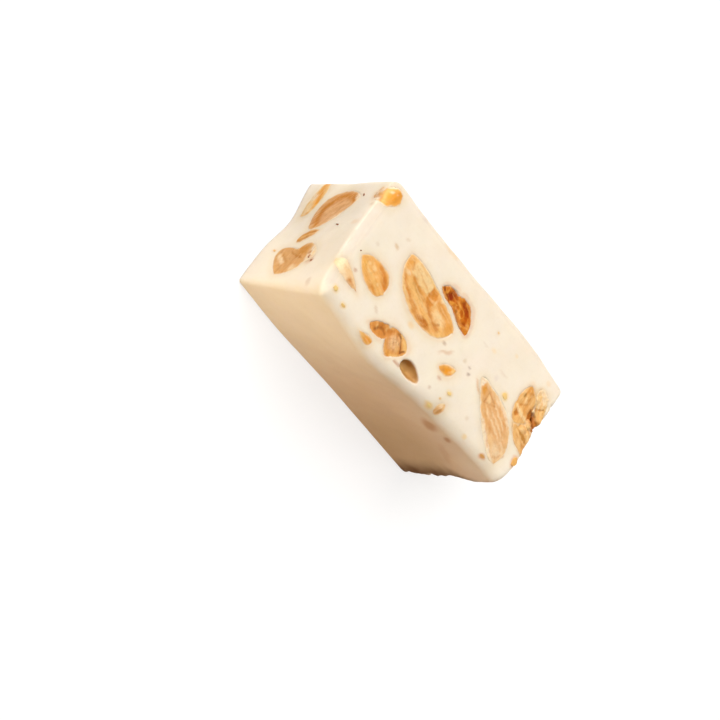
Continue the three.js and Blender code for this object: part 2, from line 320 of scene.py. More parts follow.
def kernel_points(face, one, grow, ragged, seed):
    """Points and faces of one kernel, grown by so much on every side, with a ragged outline."""
    steps, sides = 72, 40
    length, width, thickness = [side + 2 * grow for side in one.size]
    t = -np.cos(np.linspace(0, math.pi, steps + 1))[1:-1]
    radius = outline(t, one.ends)
    turn = np.linspace(0, 2 * math.pi, sides, endpoint=False)
    y = radius[:, None] * (np.cos(turn) + one.lean) * width / 2
    z = radius[:, None] * np.sin(turn) * thickness / 2
    x = np.repeat(t[:, None], sides, 1) * length / 2
    rings = np.stack([x, y, z], -1).reshape(-1, 3)
    local = np.concatenate([rings, [[-length / 2, 0, 0], [length / 2, 0, 0]]])
    middle, axes = kernel_frame(face, one)
    points = middle + local @ axes
    outward = local / np.array([length, width, thickness]) ** 2
    outward[:, 2] *= 0.3
    outward /= np.linalg.norm(outward, axis=1)[:, None]
    points += (outward @ axes) * (ragged * layered(points, 2.2, 2, seed))[:, None]
    faces = []
    last = steps - 2
    for ring, side in itertools.product(range(last), range(sides)):
        after = (side + 1) % sides
        a, b = ring * sides, (ring + 1) * sides
        faces.append((a + side, b + side, b + after, a + after))
    for side in range(sides):
        after = (side + 1) % sides
        faces.append((len(rings), side, after))
        faces.append((len(rings) + 1, last * sides + after, last * sides + side))
    return points, faces


# ---- meshes


def added(name, data):
    """A new object in the scene."""
    piece = bpy.data.objects.new(name, data)
    bpy.context.scene.collection.objects.link(piece)
    return piece


def object_from(name, points, faces):
    mesh = bpy.data.meshes.new(name)
    mesh.from_pydata(np.asarray(points).tolist(), [], [list(map(int, face)) for face in faces])
    return added(name, mesh)


def kernel_object(name, face, one, grow, ragged, seed):
    """A kernel as a closed mesh that faces outwards."""
    piece = object_from(name, *kernel_points(face, one, grow, ragged, seed))
    work = bmesh.new()
    work.from_mesh(piece.data)
    bmesh.ops.recalc_face_normals(work, faces=work.faces)
    work.to_mesh(piece.data)
    work.free()
    return piece


def boxes_meet(one, other):
    a, b = points_of(one.data), points_of(other.data)
    return (a.min(0) < b.max(0)).all() and (b.min(0) < a.max(0)).all()


def combine(piece, operation, other):
    step = piece.modifiers.new(operation, "BOOLEAN")
    step.operation = operation
    step.solver = "MANIFOLD"
    step.object = other


def remesh(piece, voxel):
    """Gives all that was combined one even mesh, and applies it."""
    step = piece.modifiers.new("remesh", "REMESH")
    step.mode = "VOXEL"
    step.voxel_size = voxel
    step.use_smooth_shade = True
    soften = piece.modifiers.new("soften", "SMOOTH")
    soften.factor = 0.5
    soften.iterations = 2
    depsgraph = bpy.context.evaluated_depsgraph_get()
    mesh = bpy.data.meshes.new_from_object(piece.evaluated_get(depsgraph))
    piece.modifiers.clear()
    piece.data = mesh


def values_of(items, field, width):
    """A field of a mesh's points, one row for each."""
    values = np.zeros(len(items) * width)
    items.foreach_get(field, values)
    return values.reshape(-1, width)


def points_of(mesh):
    return values_of(mesh.vertices, "co", 3)


def tints_of(mesh):
    return values_of(mesh.color_attributes["tint"].data, "color", 4)[:, :3]


def set_points(mesh, points):
    mesh.vertices.foreach_set("co", points.ravel())
    mesh.update()


def set_tint(mesh, colours):
    """Stores the colour of each point, which the materials read."""
    layer = mesh.color_attributes.new("tint", "FLOAT_COLOR", "POINT")
    rgba = np.ones((len(colours), 4))
    rgba[:, :3] = np.clip(colours, 0, 1)
    layer.data.foreach_set("color", rgba.ravel())


def finished(piece, slot, material, *nodes):
    """Moves a finished piece to the row frame, gives it its body and material, and hides the nodes it stands
    for.
    """
    points = (points_of(piece.data) + SHIFT) * MM
    low, high = np.array(CAD_BOX[0]), np.array(CAD_BOX[1])
    set_points(piece.data, np.clip(points, low, high))
    piece.data.materials.clear()
    piece.data.materials.append(material)
    piece.data.shade_smooth()
    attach(piece, "root")
    if nodes:
        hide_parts(*nodes)


BLOCK_POINTS, BLOCK_QUADS = fine_block()
BLOCK = object_from("block_form", BLOCK_POINTS, BLOCK_QUADS)
BLOCK_SURFACE = BVHTree.FromPolygons(BLOCK_POINTS.tolist(), BLOCK_QUADS.tolist())


def nearest_on_block(points):
    """The nearest places on the uncut block, its outward normals there and the distances."""
    found = [BLOCK_SURFACE.find_nearest(point) for point in points.tolist()]
    return [np.array([one[part] for one in found]) for part in (0, 1, 3)]


# ---- marks: colour and height on an almond

WHITE = (252, 235, 213)  # the nougat itself
FILM = (252, 231, 200)  # a thin smear of it over an almond
HALO = (246, 222, 184)  # the nougat close to an almond
CREAM = (252, 223, 180)
PALE = (249, 208, 148)
YELLOW = (255, 214, 138)
STRAW = (245, 194, 116)
GOLD = (239, 178, 98)
HONEY = (236, 162, 72)
AMBER = (224, 146, 58)
ORANGE = (241, 158, 42)
CARAMEL = (206, 128, 44)
BROWN = (182, 104, 28)
UMBER = (130, 70, 12)
TAN = (226, 172, 118)
BISCUIT = (210, 152, 96)
OLIVE = (188, 144, 72)
SKIN = (150, 90, 52)
CREVICE_SHADE = (186, 106, 8)  # painted shade in the crevice at the broken corner
BREAK_SHADE = (176, 100, 14)  # painted shade deep in the bare breaks beside it
EDGE_SHADE = (92, 50, 12)  # painted shade along the torn upright edge


def dab(at, size, colour, share=0.8, rise=0.0, turn=0.0, edge=0.6):
    """An oval patch whose edge is soft over a share of its size."""
    cos, sin = math.cos(math.radians(turn)), math.sin(math.radians(turn))

    def mask(x, y):
        along = (cos * (x - at[0]) + sin * (y - at[1])) * 2 / size[0]
        across = (cos * (y - at[1]) - sin * (x - at[0])) * 2 / size[1]
        return ramp(np.hypot(along, across), 1 + edge, 1 - edge)

    return mask, colour, share, rise


def line_distance(x, y, points):
    """Distance from a line through points."""
    nearest = np.full(x.shape, 1000.0)
    for (ax, ay), (bx, by) in zip(points[:-1], points[1:]):
        dx, dy = bx - ax, by - ay
        share = np.clip(((x - ax) * dx + (y - ay) * dy) / (dx * dx + dy * dy), 0, 1)
        nearest = np.minimum(nearest, np.hypot(x - ax - share * dx, y - ay - share * dy))
    return nearest


def stroke(points, width, colour, share=0.8, rise=0.0):
    """A soft line through points."""

    def mask(x, y):
        return ramp(line_distance(x, y, points), width * 1.1, 0)

    return mask, colour, share, rise


def plate(corners, colour, share=0.8, rise=0.0, edge=0.3):
    """A facet with corners."""

    def mask(x, y):
        inside = np.zeros(x.shape, bool)
        for (ax, ay), (bx, by) in zip(corners, corners[1:] + corners[:1]):
            crosses = (ay > y) != (by > y)
            reach = ax + (y - ay) * (bx - ax) / ((by - ay) or 1e-9)
            inside ^= crosses & (x < reach)
        distance = line_distance(x, y, corners + corners[:1])
        return ramp(np.where(inside, distance, -distance), -edge, edge)

    return mask, colour, share, rise


def painted(points, x, y, base, marks, wander, seed):
    """Colours and heights that the marks give. Noise makes their outlines and strength uneven."""
    x = x + wander * layered(points, 1.4, 2, seed)
    y = y + wander * layered(points, 1.4, 2, seed + 9)
    uneven = np.clip(0.95 + 0.4 * layered(points, 1.0, 2, seed + 4), 0.4, 1)
    colours = np.repeat(srgb(base)[None], len(points), 0)
    rise = np.zeros(len(points))
    for mask, colour, share, height in marks:
        cover = mask(x, y) * uneven
        blend(colours, cover * share, colour)
        rise += cover * height
    return colours, rise


def plain_marks(size, seed):
    """Marks of an ordinary cut almond: a seam along it, darker and paler patches."""
    draw = np.random.default_rng(seed)
    length, width, _ = size
    side = draw.uniform(-0.08, 0.12) * width
    seam = [(length * t, side + draw.uniform(-0.05, 0.05) * width) for t in (-0.36, -0.15, 0.08, 0.3)]
    marks = [stroke(seam, 0.5, CARAMEL, 0.7, -0.2)]
    for colour, share, rise in (
        (PALE, 0.6, 0.08), (CARAMEL, 0.6, -0.1), (STRAW, 0.5, 0.05), (BROWN, 0.55, -0.12), (PALE, 0.5, 0.04),
    ):
        at = (draw.uniform(-0.34, 0.34) * length, draw.uniform(-0.24, 0.3) * width)
        spot = (draw.uniform(0.12, 0.3) * length, draw.uniform(0.1, 0.24) * width)
        marks.append(dab(at, spot, colour, share, rise, turn=draw.uniform(-25, 25)))
    return marks


# ---- the almonds and how each one looks


@dataclass
class Almond:
    """What an almond is and how it looks."""

    name: str
    face: str
    kernels: list
    slot: str = "almond_golden"
    base: tuple = GOLD
    rim: tuple = STRAW
    tones: tuple = (PALE, AMBER)  # the light and the dark of its fibres
    folds: tuple = ()  # crumpled flesh: the colours of its pits, slopes and edges
    rough: tuple = ()  # a crumbled patch: its place, size and two colours
    marks: tuple = ()
    frame_of: int = 0  # which of its kernels the marks are placed in
    sunk: float = -0.03  # its depth below the nougat's face
    ragged: float = 0.12  # how uneven its outline is
    film: float = 0.6  # how much nougat smears over its rim
    wobble: float = 0.2  # how uneven the edge of that smear is
    crags: float = 0.0  # the height of its broken relief


ALMONDS = [
    Almond("almond_large", "top", [Kernel((-12.1, 4.1), 169, (21.8, 9.4, 8.5), 0.6, (0.45, 0.45))],
           base=(242, 181, 104), film=0.5, marks=[
        dab((-9.2, 0.8), (3.2, 2.6), HONEY, 0.9),
        dab((-5.8, 1.8), (4.6, 2.4), (250, 214, 158), 0.85, 0.03),
        dab((-8.6, 3.6), (2.2, 1.6), STRAW, 0.5),
        dab((-4.8, -0.3), (5.4, 1.9), AMBER, 0.7, -0.03),
        dab((-3.2, -1.4), (1.1, 0.8), CREAM, 0.8, 0.03),
        plate([(0.7, 2.1), (1, -1.2), (2.2, -2), (8, -1.6), (8.8, 0.4), (8.3, 2), (6.4, 2), (5.4, 1.4),
              (4.2, 2.2), (2.4, 1.5)], (247, 207, 144), 1, 0.06),
        dab((4, -0.4), (6, 1.8), (249, 214, 158), 0.7, 0.02),
        dab((8.4, 2.9), (1.5, 1), CREAM, 0.7, 0.03),
        stroke([(8.3, 1.4), (8.9, 0.6), (9.6, 0.2)], 0.6, (212, 142, 66), 0.7, -0.02),
        dab((9.8, 1.3), (1.4, 2), HONEY),
        plate([(-2, 2.2), (-2.2, -0.4), (-1.3, -1.5), (0.7, -1.4), (0.5, 1.9), (-0.4, 2.6)], (218, 138, 50),
              1, -0.08),
        stroke([(-2.4, -0.6), (-2.5, 1.2)], 0.4, PALE, 0.5, 0.05),
        stroke([(-7.4, 3.7), (-4.6, 3.8), (-2.6, 3.2), (-0.8, 2.4)], 1, (200, 120, 40), 0.8, -0.04),
        stroke([(-7, 2.5), (-6.1, 3.5)], 0.45, (200, 134, 66), 0.7, -0.02),
        stroke([(0.3, 3), (2.8, 2.8), (6, 2.4)], 0.75, (202, 130, 46), 0.85, -0.06),
        stroke([(-0.4, 4), (2.8, 3.4), (5.4, 3.2)], 0.5, OLIVE, 0.5, -0.03),
        stroke([(-5.4, 5), (-2, 4.5), (2, 4.6), (6.4, 3.8)], 1.2, STRAW, 0.5, 0.03),
        stroke([(-2.2, 3.6), (1, 4.2)], 0.5, PALE, 0.6, 0.03),
        stroke([(0.4, 5.8), (3.6, 5.7), (6.8, 5), (9.4, 3.6)], 0.7, (214, 132, 48), 0.85, -0.04),
        dab((-3.6, 5.9), (4.6, 1.9), (192, 108, 24), 1, -0.05, turn=8, edge=0.35),
        dab((-1, 6.6), (4.4, 1.2), CARAMEL, 0.9, -0.03),
        stroke([(1.4, 7), (5, 6.2), (8.2, 4.8), (10.2, 2.6)], 0.6, PALE, 0.7, 0.02),
    ]),
    Almond("almond_small", "top", [Kernel((-27.6, -3.9), 166, (10.3, 6.4, 7), -0.17, (0.37, 0.65))],
           base=(240, 176, 96), film=0.5, marks=[
        dab((3, 0.5), (3.2, 2), (247, 182, 88), 0.9),
        dab((-2.6, 1.8), (2.8, 1.1), (222, 140, 50), 0.9, -0.03),
        dab((0.2, 1.9), (3.4, 1), HONEY, 0.7, -0.02),
        stroke([(-4.6, -1.2), (-2.6, -2.4), (-0.2, -3.1)], 1.5, (218, 132, 42), 1, -0.05),
        dab((-3.4, -2), (2, 0.9), (202, 116, 28), 0.8, -0.02, turn=-28),
        dab((1.4, -2.4), (2.6, 1.2), HONEY, 0.6),
        stroke([(-4, 0.6), (-0.5, 0.3), (2.4, 0.3)], 1.1, STRAW, 0.6, 0.03),
        dab((-2.5, 0), (0.9, 0.6), PALE, 0.8, 0.04),
        dab((-1, -0.5), (0.8, 0.5), PALE, 0.6, 0.03),
        dab((0.8, -1.1), (1.3, 1.1), PALE, 0.8, 0.04),
        dab((2.5, -0.9), (0.9, 0.7), PALE, 0.8, 0.03),
        dab((1.2, 0.4), (1.4, 0.6), PALE, 0.6, 0.03),
    ]),
    Almond("almond_dark", "top", [Kernel((-8, 6.7), 353, (5.8, 3.5, 5), 0.48, (0.6, 0.4)),
           Kernel((-2.6, 5.4), 337, (10.1, 5, 6), 0.6, (0.6, 0.7))], slot="almond_dark",
           base=(206, 112, 22), rim=(226, 148, 56), sunk=0.04, ragged=0.3, frame_of=1,
           tones=(GOLD, (160, 66, 2)), film=0.25, wobble=0.3,
           folds=((146, 52, 0), (200, 100, 12), (236, 166, 66)), marks=[
        dab((-5.3, -0.2), (2.6, 3.6), (138, 34, 0), 1, -0.12, turn=10),
        dab((-6.8, 0.6), (1.6, 1.8), (206, 112, 20), 0.9),
        dab((-7.2, -1.3), (2.6, 0.8), (120, 34, 0), 0.9, -0.08),
        dab((-2.6, -1.3), (3, 0.8), (150, 76, 10), 0.9, -0.1),
        stroke([(-4.2, 1), (-3.6, 2), (-1.6, 2.8)], 1, (226, 146, 52), 0.8, 0.04),
        dab((0.3, 2.4), (3.4, 2), (170, 66, 0), 1, -0.1),
        dab((2.2, 1.4), (2, 1.6), (196, 96, 8), 0.8, -0.04),
        dab((-2.8, 0.8), (2.6, 1.4), (198, 104, 22), 0.8, 0.02),
        stroke([(-3.4, 0.9), (-2, 1.3), (-1, 0.5), (0.4, 0)], 0.5, (240, 170, 80), 0.9, 0.06),
        dab((3.4, 1.4), (1.5, 1.2), (238, 172, 92), 0.8, 0.04),
        dab((3.9, 0.2), (1.6, 1.3), (222, 134, 34), 0.9, 0.03),
        stroke([(-2.6, 0), (0.4, -0.5), (3.2, -0.7)], 0.5, (236, 170, 92), 0.8, 0.05),
        stroke([(-1.8, -0.4), (0.6, -1), (2.6, -0.9)], 0.4, UMBER, 0.7, -0.08),
    ]),
    Almond("almond_broken", "top", [Kernel((-18.6, -9.3), 204, (6.6, 3.8, 5), 0.3, (0.35, 0.7)),
           Kernel((-13.9, -9.5), 125, (6.7, 7, 6), -0.5, (0.35, 0.7))], base=(224, 148, 70), rim=GOLD,
           sunk=0.04, ragged=0.3, frame_of=1, film=0.4, wobble=0.3, tones=(STRAW, CARAMEL),
           rough=((-0.2, -1.1), (3.4, 3.2), ((194, 130, 70), (244, 198, 146))), marks=[
        dab((2.6, 3.2), (3.4, 5.2), (216, 134, 52), 0.9, -0.05, turn=20),
        dab((2.9, 4.2), (1, 0.8), STRAW, 0.8, 0.06),
        dab((1.7, 3.6), (1.1, 1), AMBER, 0.8, 0.05),
        stroke([(1.6, 2), (2.6, 2.6), (2.9, 3.6), (2.4, 4.8)], 0.6, (160, 86, 18), 0.9, -0.1),
        stroke([(3.5, 2.4), (3.6, 3.8)], 0.6, BROWN, 0.8, -0.06),
        dab((2.6, 0.4), (1.8, 2.4), (202, 120, 40), 0.9, -0.04),
        stroke([(2.6, 1.6), (3.2, 0.6), (2.8, -0.6)], 0.5, STRAW, 0.6, 0.03),
        dab((-2.4, 0.2), (1.5, 2.6), HONEY, 0.9),
        dab((-2.8, 1.2), (1, 0.9), (214, 134, 54)),
        stroke([(-3.1, -0.6), (-3.2, -3.2)], 0.9, STRAW, 0.9),
        stroke([(-1.6, -4.5), (0, -4.1), (1.6, -3.4)], 1, (250, 200, 122), 1, 0.03),
        stroke([(-2.2, -3.2), (-0.8, -3.2), (1, -3), (1.8, -2.5)], 0.4, (130, 70, 10), 1, -0.14),
        stroke([(-2.2, -3.2), (-1.9, -4.4)], 0.45, (150, 84, 20), 1, -0.1),
        dab((-0.5, -2.5), (0.7, 0.6), (140, 78, 20), 0.9, -0.08),
        dab((2, -2.4), (0.8, 1), (166, 98, 28), 0.9, -0.08),
    ]),
    Almond("almond_ribbed", "top", [Kernel((21.6, -5.9), 147, (21.6, 8.3, 7.5), -0.5, (0.55, 0.9))],
           base=(236, 184, 126), rim=PALE, ragged=0.3, film=0.85, wobble=0.35,
           tones=((249, 214, 164), (228, 164, 100)), marks=[
        dab((-8, -1.4), (4.6, 4), CREAM, 0.7),
        dab((-5, 0.2), (3.6, 1.2), PALE, 0.6),
        dab((2.4, 0.4), (6.4, 1.6), (232, 170, 98), 0.8, -0.02),
        stroke([(2.6, 0.6), (-1.5, -0.5), (-5, -1.3), (-8.2, -2.4)], 0.7, (224, 160, 92), 0.5, -0.02),
        stroke([(3, -0.7), (-1, -1.9), (-4.6, -2.7), (-7.6, -3.6)], 0.7, (224, 160, 92), 0.5, -0.02),
        stroke([(3.6, -2.3), (-1.4, -3.2), (-5.4, -4)], 0.8, (226, 162, 94), 0.5, -0.02),
        stroke([(4, -3), (0.8, -4), (-2.8, -4.8)], 0.7, (228, 158, 80), 0.55, -0.02),
        stroke([(2.8, 0), (-1.2, -1.2), (-5, -2)], 0.5, CREAM, 0.5, 0.03),
        stroke([(1.8, -1.5), (-2, -2.6), (-6, -3.3)], 0.5, CREAM, 0.5, 0.03),
        stroke([(2.8, -2.9), (-0.6, -3.6), (-3.6, -4.2)], 0.5, CREAM, 0.6, 0.04),
        stroke([(4.7, 0.3), (6.3, -1.8), (4.4, -2.4), (2.5, -2.7)], 0.45, (200, 132, 64), 0.75, -0.04),
        stroke([(4.7, 0.3), (3.6, -1.2), (2.5, -2.7)], 0.4, (210, 142, 74), 0.65, -0.03),
        dab((4.7, -1.3), (1.8, 1.2), (247, 208, 150), 0.8, 0.04),
        dab((7.3, -0.5), (2.6, 1.7), (230, 156, 62), 1),
        dab((-2.2, -0.1), (1.4, 0.8), CARAMEL, 0.5, -0.05),
        dab((-2.6, -4.6), (3, 1), (218, 150, 78), 0.7, -0.05),
        dab((3, -3.8), (2.8, 0.9), CREAM, 0.7, 0.03),
        stroke([(-9, 0), (-9.6, -0.8), (-9.4, -1.8)], 0.5, CARAMEL, 0.5, -0.03),
        plate([(-11.5, 3), (-11, 0.2), (-9, 0.5), (-6.5, 0.8), (-3.2, 0.9), (0.4, 1.3), (4, 2.2), (1, 3.4)],
              FILM, 1, -0.02, edge=0.35),
        plate([(-3.6, -6.6), (-3.4, -5.3), (-1.8, -5.5), (0.2, -5), (2.4, -4.6), (4.4, -4.4), (2, -6.6)],
              FILM, 0.8, -0.02, edge=0.5),
        plate([(8.9, 2), (8.6, 0), (8.8, -1.6), (12, -1.6), (12, 2)], FILM, 1, -0.02, edge=0.35),
    ]),
    Almond("almond_pale_sliver", "top", [Kernel((-32, -8.4), 344, (8.8, 2.8, 4), 0, (0.4, 1.05))],
           slot="almond_pale", base=(240, 192, 134), rim=CREAM, ragged=0.15, film=0.2, wobble=0.1,
           tones=(CREAM, GOLD), marks=[
        dab((-2.4, 0.1), (5.4, 3.4), CREAM, 0.9),
        dab((-0.6, 0.3), (2.4, 1.8), (243, 196, 136), 0.7),
        stroke([(0.8, -0.4), (2.4, -0.6), (4, -0.5)], 1, (206, 126, 42), 1),
        stroke([(0.8, -0.8), (3, -0.8)], 0.4, (170, 96, 24), 0.9, -0.04),
        dab((3.7, -0.3), (1.4, 0.7), BROWN, 0.9),
    ]),
    Almond("almond_round", "top", [Kernel((-34.5, 11), 50, (5.7, 4.4, 7), 0, (0.5, 0.5), 0.8)],
           base=(243, 168, 74), rim=STRAW, film=0.8, ragged=0.25, wobble=0.4, tones=(STRAW, ORANGE), marks=[
        dab((0, -0.2), (3.4, 1.7), (242, 158, 40), 0.9),
        stroke([(-2.8, -0.4), (-1.8, 0.7), (-0.2, 1.9)], 0.5, (186, 104, 22), 0.9, -0.06),
        stroke([(-2.2, -0.6), (-1, 0.8), (0.4, 1.6)], 0.6, YELLOW, 0.5, 0.03),
        # painted highlight: two pale glints
        dab((0.6, 1), (0.8, 0.5), CREAM, 0.7, 0.03),
        dab((1.6, 0.3), (0.7, 0.5), CREAM, 0.7, 0.03),
        dab((-1.9, -1.2), (1.4, 1), (240, 160, 52)),
        dab((2.1, 0.2), (1.2, 1.6), (232, 150, 48), 0.7),
        plate([(-5, -1.6), (-3.1, -0.7), (-1.7, 0.9), (0.2, 2.1), (2, 4), (-5, 4)], FILM, 1),
        # once more, for full cover
        plate([(-5, -1.6), (-3.1, -0.7), (-1.7, 0.9), (0.2, 2.1), (2, 4), (-5, 4)], FILM, 1),
    ]),
    Almond("chip_ridge", "top", [Kernel((-20.2, -12.9), 186, (4.7, 1.9, 3.2), 0.5, (0.4, 1.1))],
           base=(236, 166, 76), rim=STRAW, marks=[
        dab((-1.2, 0.5), (2.2, 1), (238, 150, 36), 0.9),
        dab((0.9, 0.4), (1.4, 0.8), STRAW, 0.6),
    ]),
    Almond("chip_golden", "top", [Kernel((3.3, -4.8), 28, (5.6, 2.5, 3.4), -0.42, (0.77, 0.73))],
           base=(234, 162, 66), rim=STRAW, ragged=0.15, marks=[
        dab((0.4, -0.7), (3.4, 1.5), (241, 152, 18), 1, turn=-6),
        dab((1.9, -0.3), (1.4, 1), YELLOW, 0.7),
        dab((-1.6, -0.6), (1.8, 0.8), (220, 142, 60)),
    ]),
    Almond("chip_round", "top", [Kernel((8.7, -13), 76, (3.3, 2.4, 2.6), 0, (0.4, 0.6))],
           base=(238, 192, 134), rim=PALE, ragged=0.15, film=0.7, marks=[
        dab((-0.6, -0.5), (1.8, 0.9), (202, 138, 70), 0.9),
        dab((0.5, 0.3), (1.3, 1), CREAM, 0.9),
    ]),
    Almond("corner_fragment_upper", "top", [Kernel((27.3, 4.1), 277, (10.2, 6.3, 7), 0.32, (0.8, 0.55))],
           base=(236, 178, 104), rim=GOLD, ragged=0.3, film=0.3, wobble=0.3, crags=0.12,
           tones=(PALE, CARAMEL), marks=[
        dab((-4, 0.4), (2.6, 2.2), (226, 154, 70), 0.9),
        stroke([(-3.4, 1.4), (-2, 1.3), (-1.2, 1)], 0.6, (196, 126, 50), 0.8, -0.04),
        dab((-1.8, -0.6), (1.2, 1), (184, 126, 44), 1, -0.08),
        dab((-0.9, 0.3), (1.8, 0.9), PALE, 0.9, 0.08, turn=30),
        stroke([(-0.6, 1.2), (0.4, 0.4), (0.7, -0.8)], 0.4, CARAMEL, 0.6, -0.05),
        dab((0.7, 1.8), (2.4, 2.2), (230, 160, 80), 0.9, -0.04),
        # a raised ridge, its pale colour a painted highlight
        stroke([(3, 3.2), (2.6, 1.5), (2.1, 0.2), (1.3, -1.4)], 0.7, (252, 216, 160), 1, 0.16),
        plate([(2.2, -1.2), (2.5, 0.2), (3, 0.4), (3.9, -0.5), (3.2, -1.3)], (206, 124, 40), 1, -0.12),
        dab((4.6, 1.6), (2.4, 3.4), (238, 184, 112), 0.8, 0.04),
        # painted shade of the crevice beside it
        dab((-0.7, 3.9), (1.8, 1.3), (176, 104, 12), 1, -0.3, edge=0.4),
        dab((1.9, 4.2), (2.4, 1.6), (150, 78, 2), 1, -0.45, edge=0.4),
    ]),
    Almond("corner_fragment_lower", "top", [Kernel((32.3, -3.5), 337, (9.7, 5.4, 7), 0.55, (0.9, 1))],
           base=(236, 180, 110), rim=GOLD, ragged=0.3, film=0.3, wobble=0.3, crags=0.22,
           tones=(PALE, CARAMEL), marks=[
        dab((-3, 1.2), (3.6, 3), (236, 180, 106), 0.8, 0.05),
        plate([(-2.3, 1.2), (-1, 2), (0.6, 2.2), (1.6, 1.9), (0.4, 1), (-1.2, 0.8)], (190, 128, 48), 1,
              -0.2, edge=0.3),
        stroke([(-2.4, 2.1), (-1, 2.9), (1.2, 3)], 0.8, (250, 208, 146), 0.9, 0.14),
        dab((2.4, 0.6), (2.4, 1.6), (222, 150, 70)),
        dab((3.9, 0.2), (1.2, 0.8), CARAMEL, 0.6, -0.06),
        dab((0.4, -0.4), (3, 1.2), PALE, 0.7, 0.03),
    ]),
    Almond("corner_fragment_outer", "top", [Kernel((31.9, 6), 304, (9.2, 3.9, 7), 0.6, (0.4, 0.65))],
           base=(236, 186, 114), rim=PALE, ragged=0.3, film=0.5, wobble=0.4, crags=0.3,
           tones=(CREAM, AMBER), marks=[
        dab((-3.2, 1.4), (4, 3.6), FILM, 0.7),
        dab((-2.6, 0.4), (2.2, 1.5), (243, 190, 108), 0.8, -0.03),
        dab((-2.8, 2.2), (3, 1.6), CREAM, 0.8, 0.06),
        dab((-0.9, 0.8), (1.4, 2.2), PALE, 0.8, 0.05),
        stroke([(0, -0.4), (0.2, 1), (0.1, 1.8)], 0.4, (200, 130, 56), 0.8, -0.1),
        dab((1.8, 1.2), (2.4, 1.8), (244, 194, 120), 0.9, 0.08),
        dab((3.4, 0.8), (1.4, 1), (228, 164, 84)),
        # painted shade of the crevice beside it
        dab((0.4, -0.9), (2, 1.2), (176, 104, 12), 1, -0.3, edge=0.4),
        dab((2.6, -0.9), (2.6, 1.3), (150, 78, 2), 1, -0.45, edge=0.4),
    ]),
    Almond("end_almond_large", "near_end", [Kernel((6.2, 17.6), 235, (15, 9.7, 8), 0.41, (0.65, 0.38))],
           slot="almond_tan", base=(230, 174, 120), rim=PALE, film=0.85,
           tones=((246, 204, 156), (206, 140, 78)), marks=[
        stroke([(-6, 0), (-5.4, 1.6), (-3, 3.8), (-0.2, 4.6), (3, 4.1), (5, 2.2), (5.6, -1.8)], 1.8,
              (212, 136, 50), 1, -0.04),
        stroke([(-5.7, -0.2), (-5.3, 1.4)], 0.7, (200, 122, 40)),
        stroke([(1.4, 4.6), (3.8, 3.4), (5.2, 1)], 0.9, (204, 128, 44), 0.7, -0.02),
        stroke([(-0.4, 6.2), (2.2, 6), (4.8, 4.8)], 1.1, (230, 170, 104)),
        stroke([(-4.6, -0.6), (-1, 0.8), (3, 1)], 0.6, (216, 156, 96), 0.7, -0.04),
        stroke([(-4.2, 0.4), (-0.6, 2), (3, 2.2)], 0.6, (240, 188, 132), 0.6, 0.04),
        stroke([(-3, -1), (0.6, -0.4)], 0.5, (242, 196, 148), 0.6, 0.03),
        dab((0.4, -1.9), (3.4, 1.1), (247, 208, 166), 0.8, 0.03),
        dab((-7.2, 0.4), (2, 2.4), FILM, 1),
        dab((6.4, -1.4), (1.4, 2.4), (232, 176, 112), 0.7),
    ]),
    Almond("end_almond_split", "near_end", [Kernel((-8.9, 13.3), 196, (7.7, 12.4, 8), 0.04, (0.43, 0.85)),
           Kernel((-7, 18.7), 255, (7.9, 6.4, 6), 0.31, (0.7, 0.42))], slot="almond_tan",
           base=(222, 167, 107), rim=PALE, ragged=0.18, film=0.8, tones=((245, 204, 148), (206, 142, 76)),
           marks=[
        dab((-4.4, -2.6), (3, 4.4), (211, 143, 60), 0.9, -0.04, turn=-15),
        stroke([(-0.4, 4.4), (0.2, 2.5), (0.6, 1.2)], 0.9, CREAM, 0.9, 0.05),
        stroke([(-1.4, 3.8), (-0.6, 1.8), (0, 0)], 0.6, (204, 142, 76), 0.8, -0.05),
        dab((2.5, 2), (1.6, 2.8), (224, 166, 98), 0.7),
        dab((2.6, -1.5), (1.2, 1.8), CARAMEL, 0.5, -0.04),
        dab((0.6, -4.2), (2, 2.4), CREAM, 0.7, 0.03),
        dab((-1.6, -1.2), (1.6, 3), BISCUIT, 0.5, -0.03),
        stroke([(-2.6, -4.4), (-2.4, -1.6), (-2.7, 1.2)], 0.5, (196, 126, 50), 0.8, -0.06),
        plate([(-8, -4.6), (-5.6, -5), (-3.6, -5.4), (-1.6, -6.2), (-2, -9.5), (-8, -9.5)], FILM, 1,
              edge=0.5),
        dab((-4.6, -5.6), (1.2, 0.9), (206, 142, 84), 0.9),
        dab((-3.6, -6.6), (1.1, 0.9), (196, 128, 76), 0.9),
        dab((-3.9, -7.8), (1, 0.8), (206, 142, 92), 0.9),
        dab((-5, -7), (0.8, 0.8), YELLOW, 0.7),
    ]),
    Almond("end_almond_strip", "near_end", [Kernel((-1.2, 14.4), 60, (7, 2.9, 4), -0.44, (0.38, 0.7))],
           base=(222, 162, 92), rim=PALE, ragged=0.15, film=0.8, marks=[
        dab((-0.6, -0.7), (2.8, 1.2), (238, 184, 112)),
        stroke([(-2.6, 0.1), (-0.2, 0.2), (2, -0.1)], 0.7, (196, 134, 70), 0.8, -0.03),
        stroke([(-1.4, -1.4), (0.6, -1), (2.4, -0.3)], 0.6, (200, 126, 48), 0.8, -0.03),
        dab((-2.8, -0.6), (1, 1.2), CARAMEL, 0.6),
    ]),
    Almond("end_almond_sliver", "near_end", [Kernel((10.8, 5.4), 200, (10.5, 4.6, 5), -0.5, (0.44, 0.42))],
           base=(250, 206, 142), rim=PALE, ragged=0.18, film=0.85, tones=(CREAM, HONEY), marks=[
        stroke([(-4.4, -0.2), (-2.4, -0.9), (-0.4, -2), (1.6, -2.6)], 1.6, (240, 168, 76), 1, -0.03),
        stroke([(-2.2, -1.4), (0.6, -2.6)], 0.8, (234, 150, 46)),
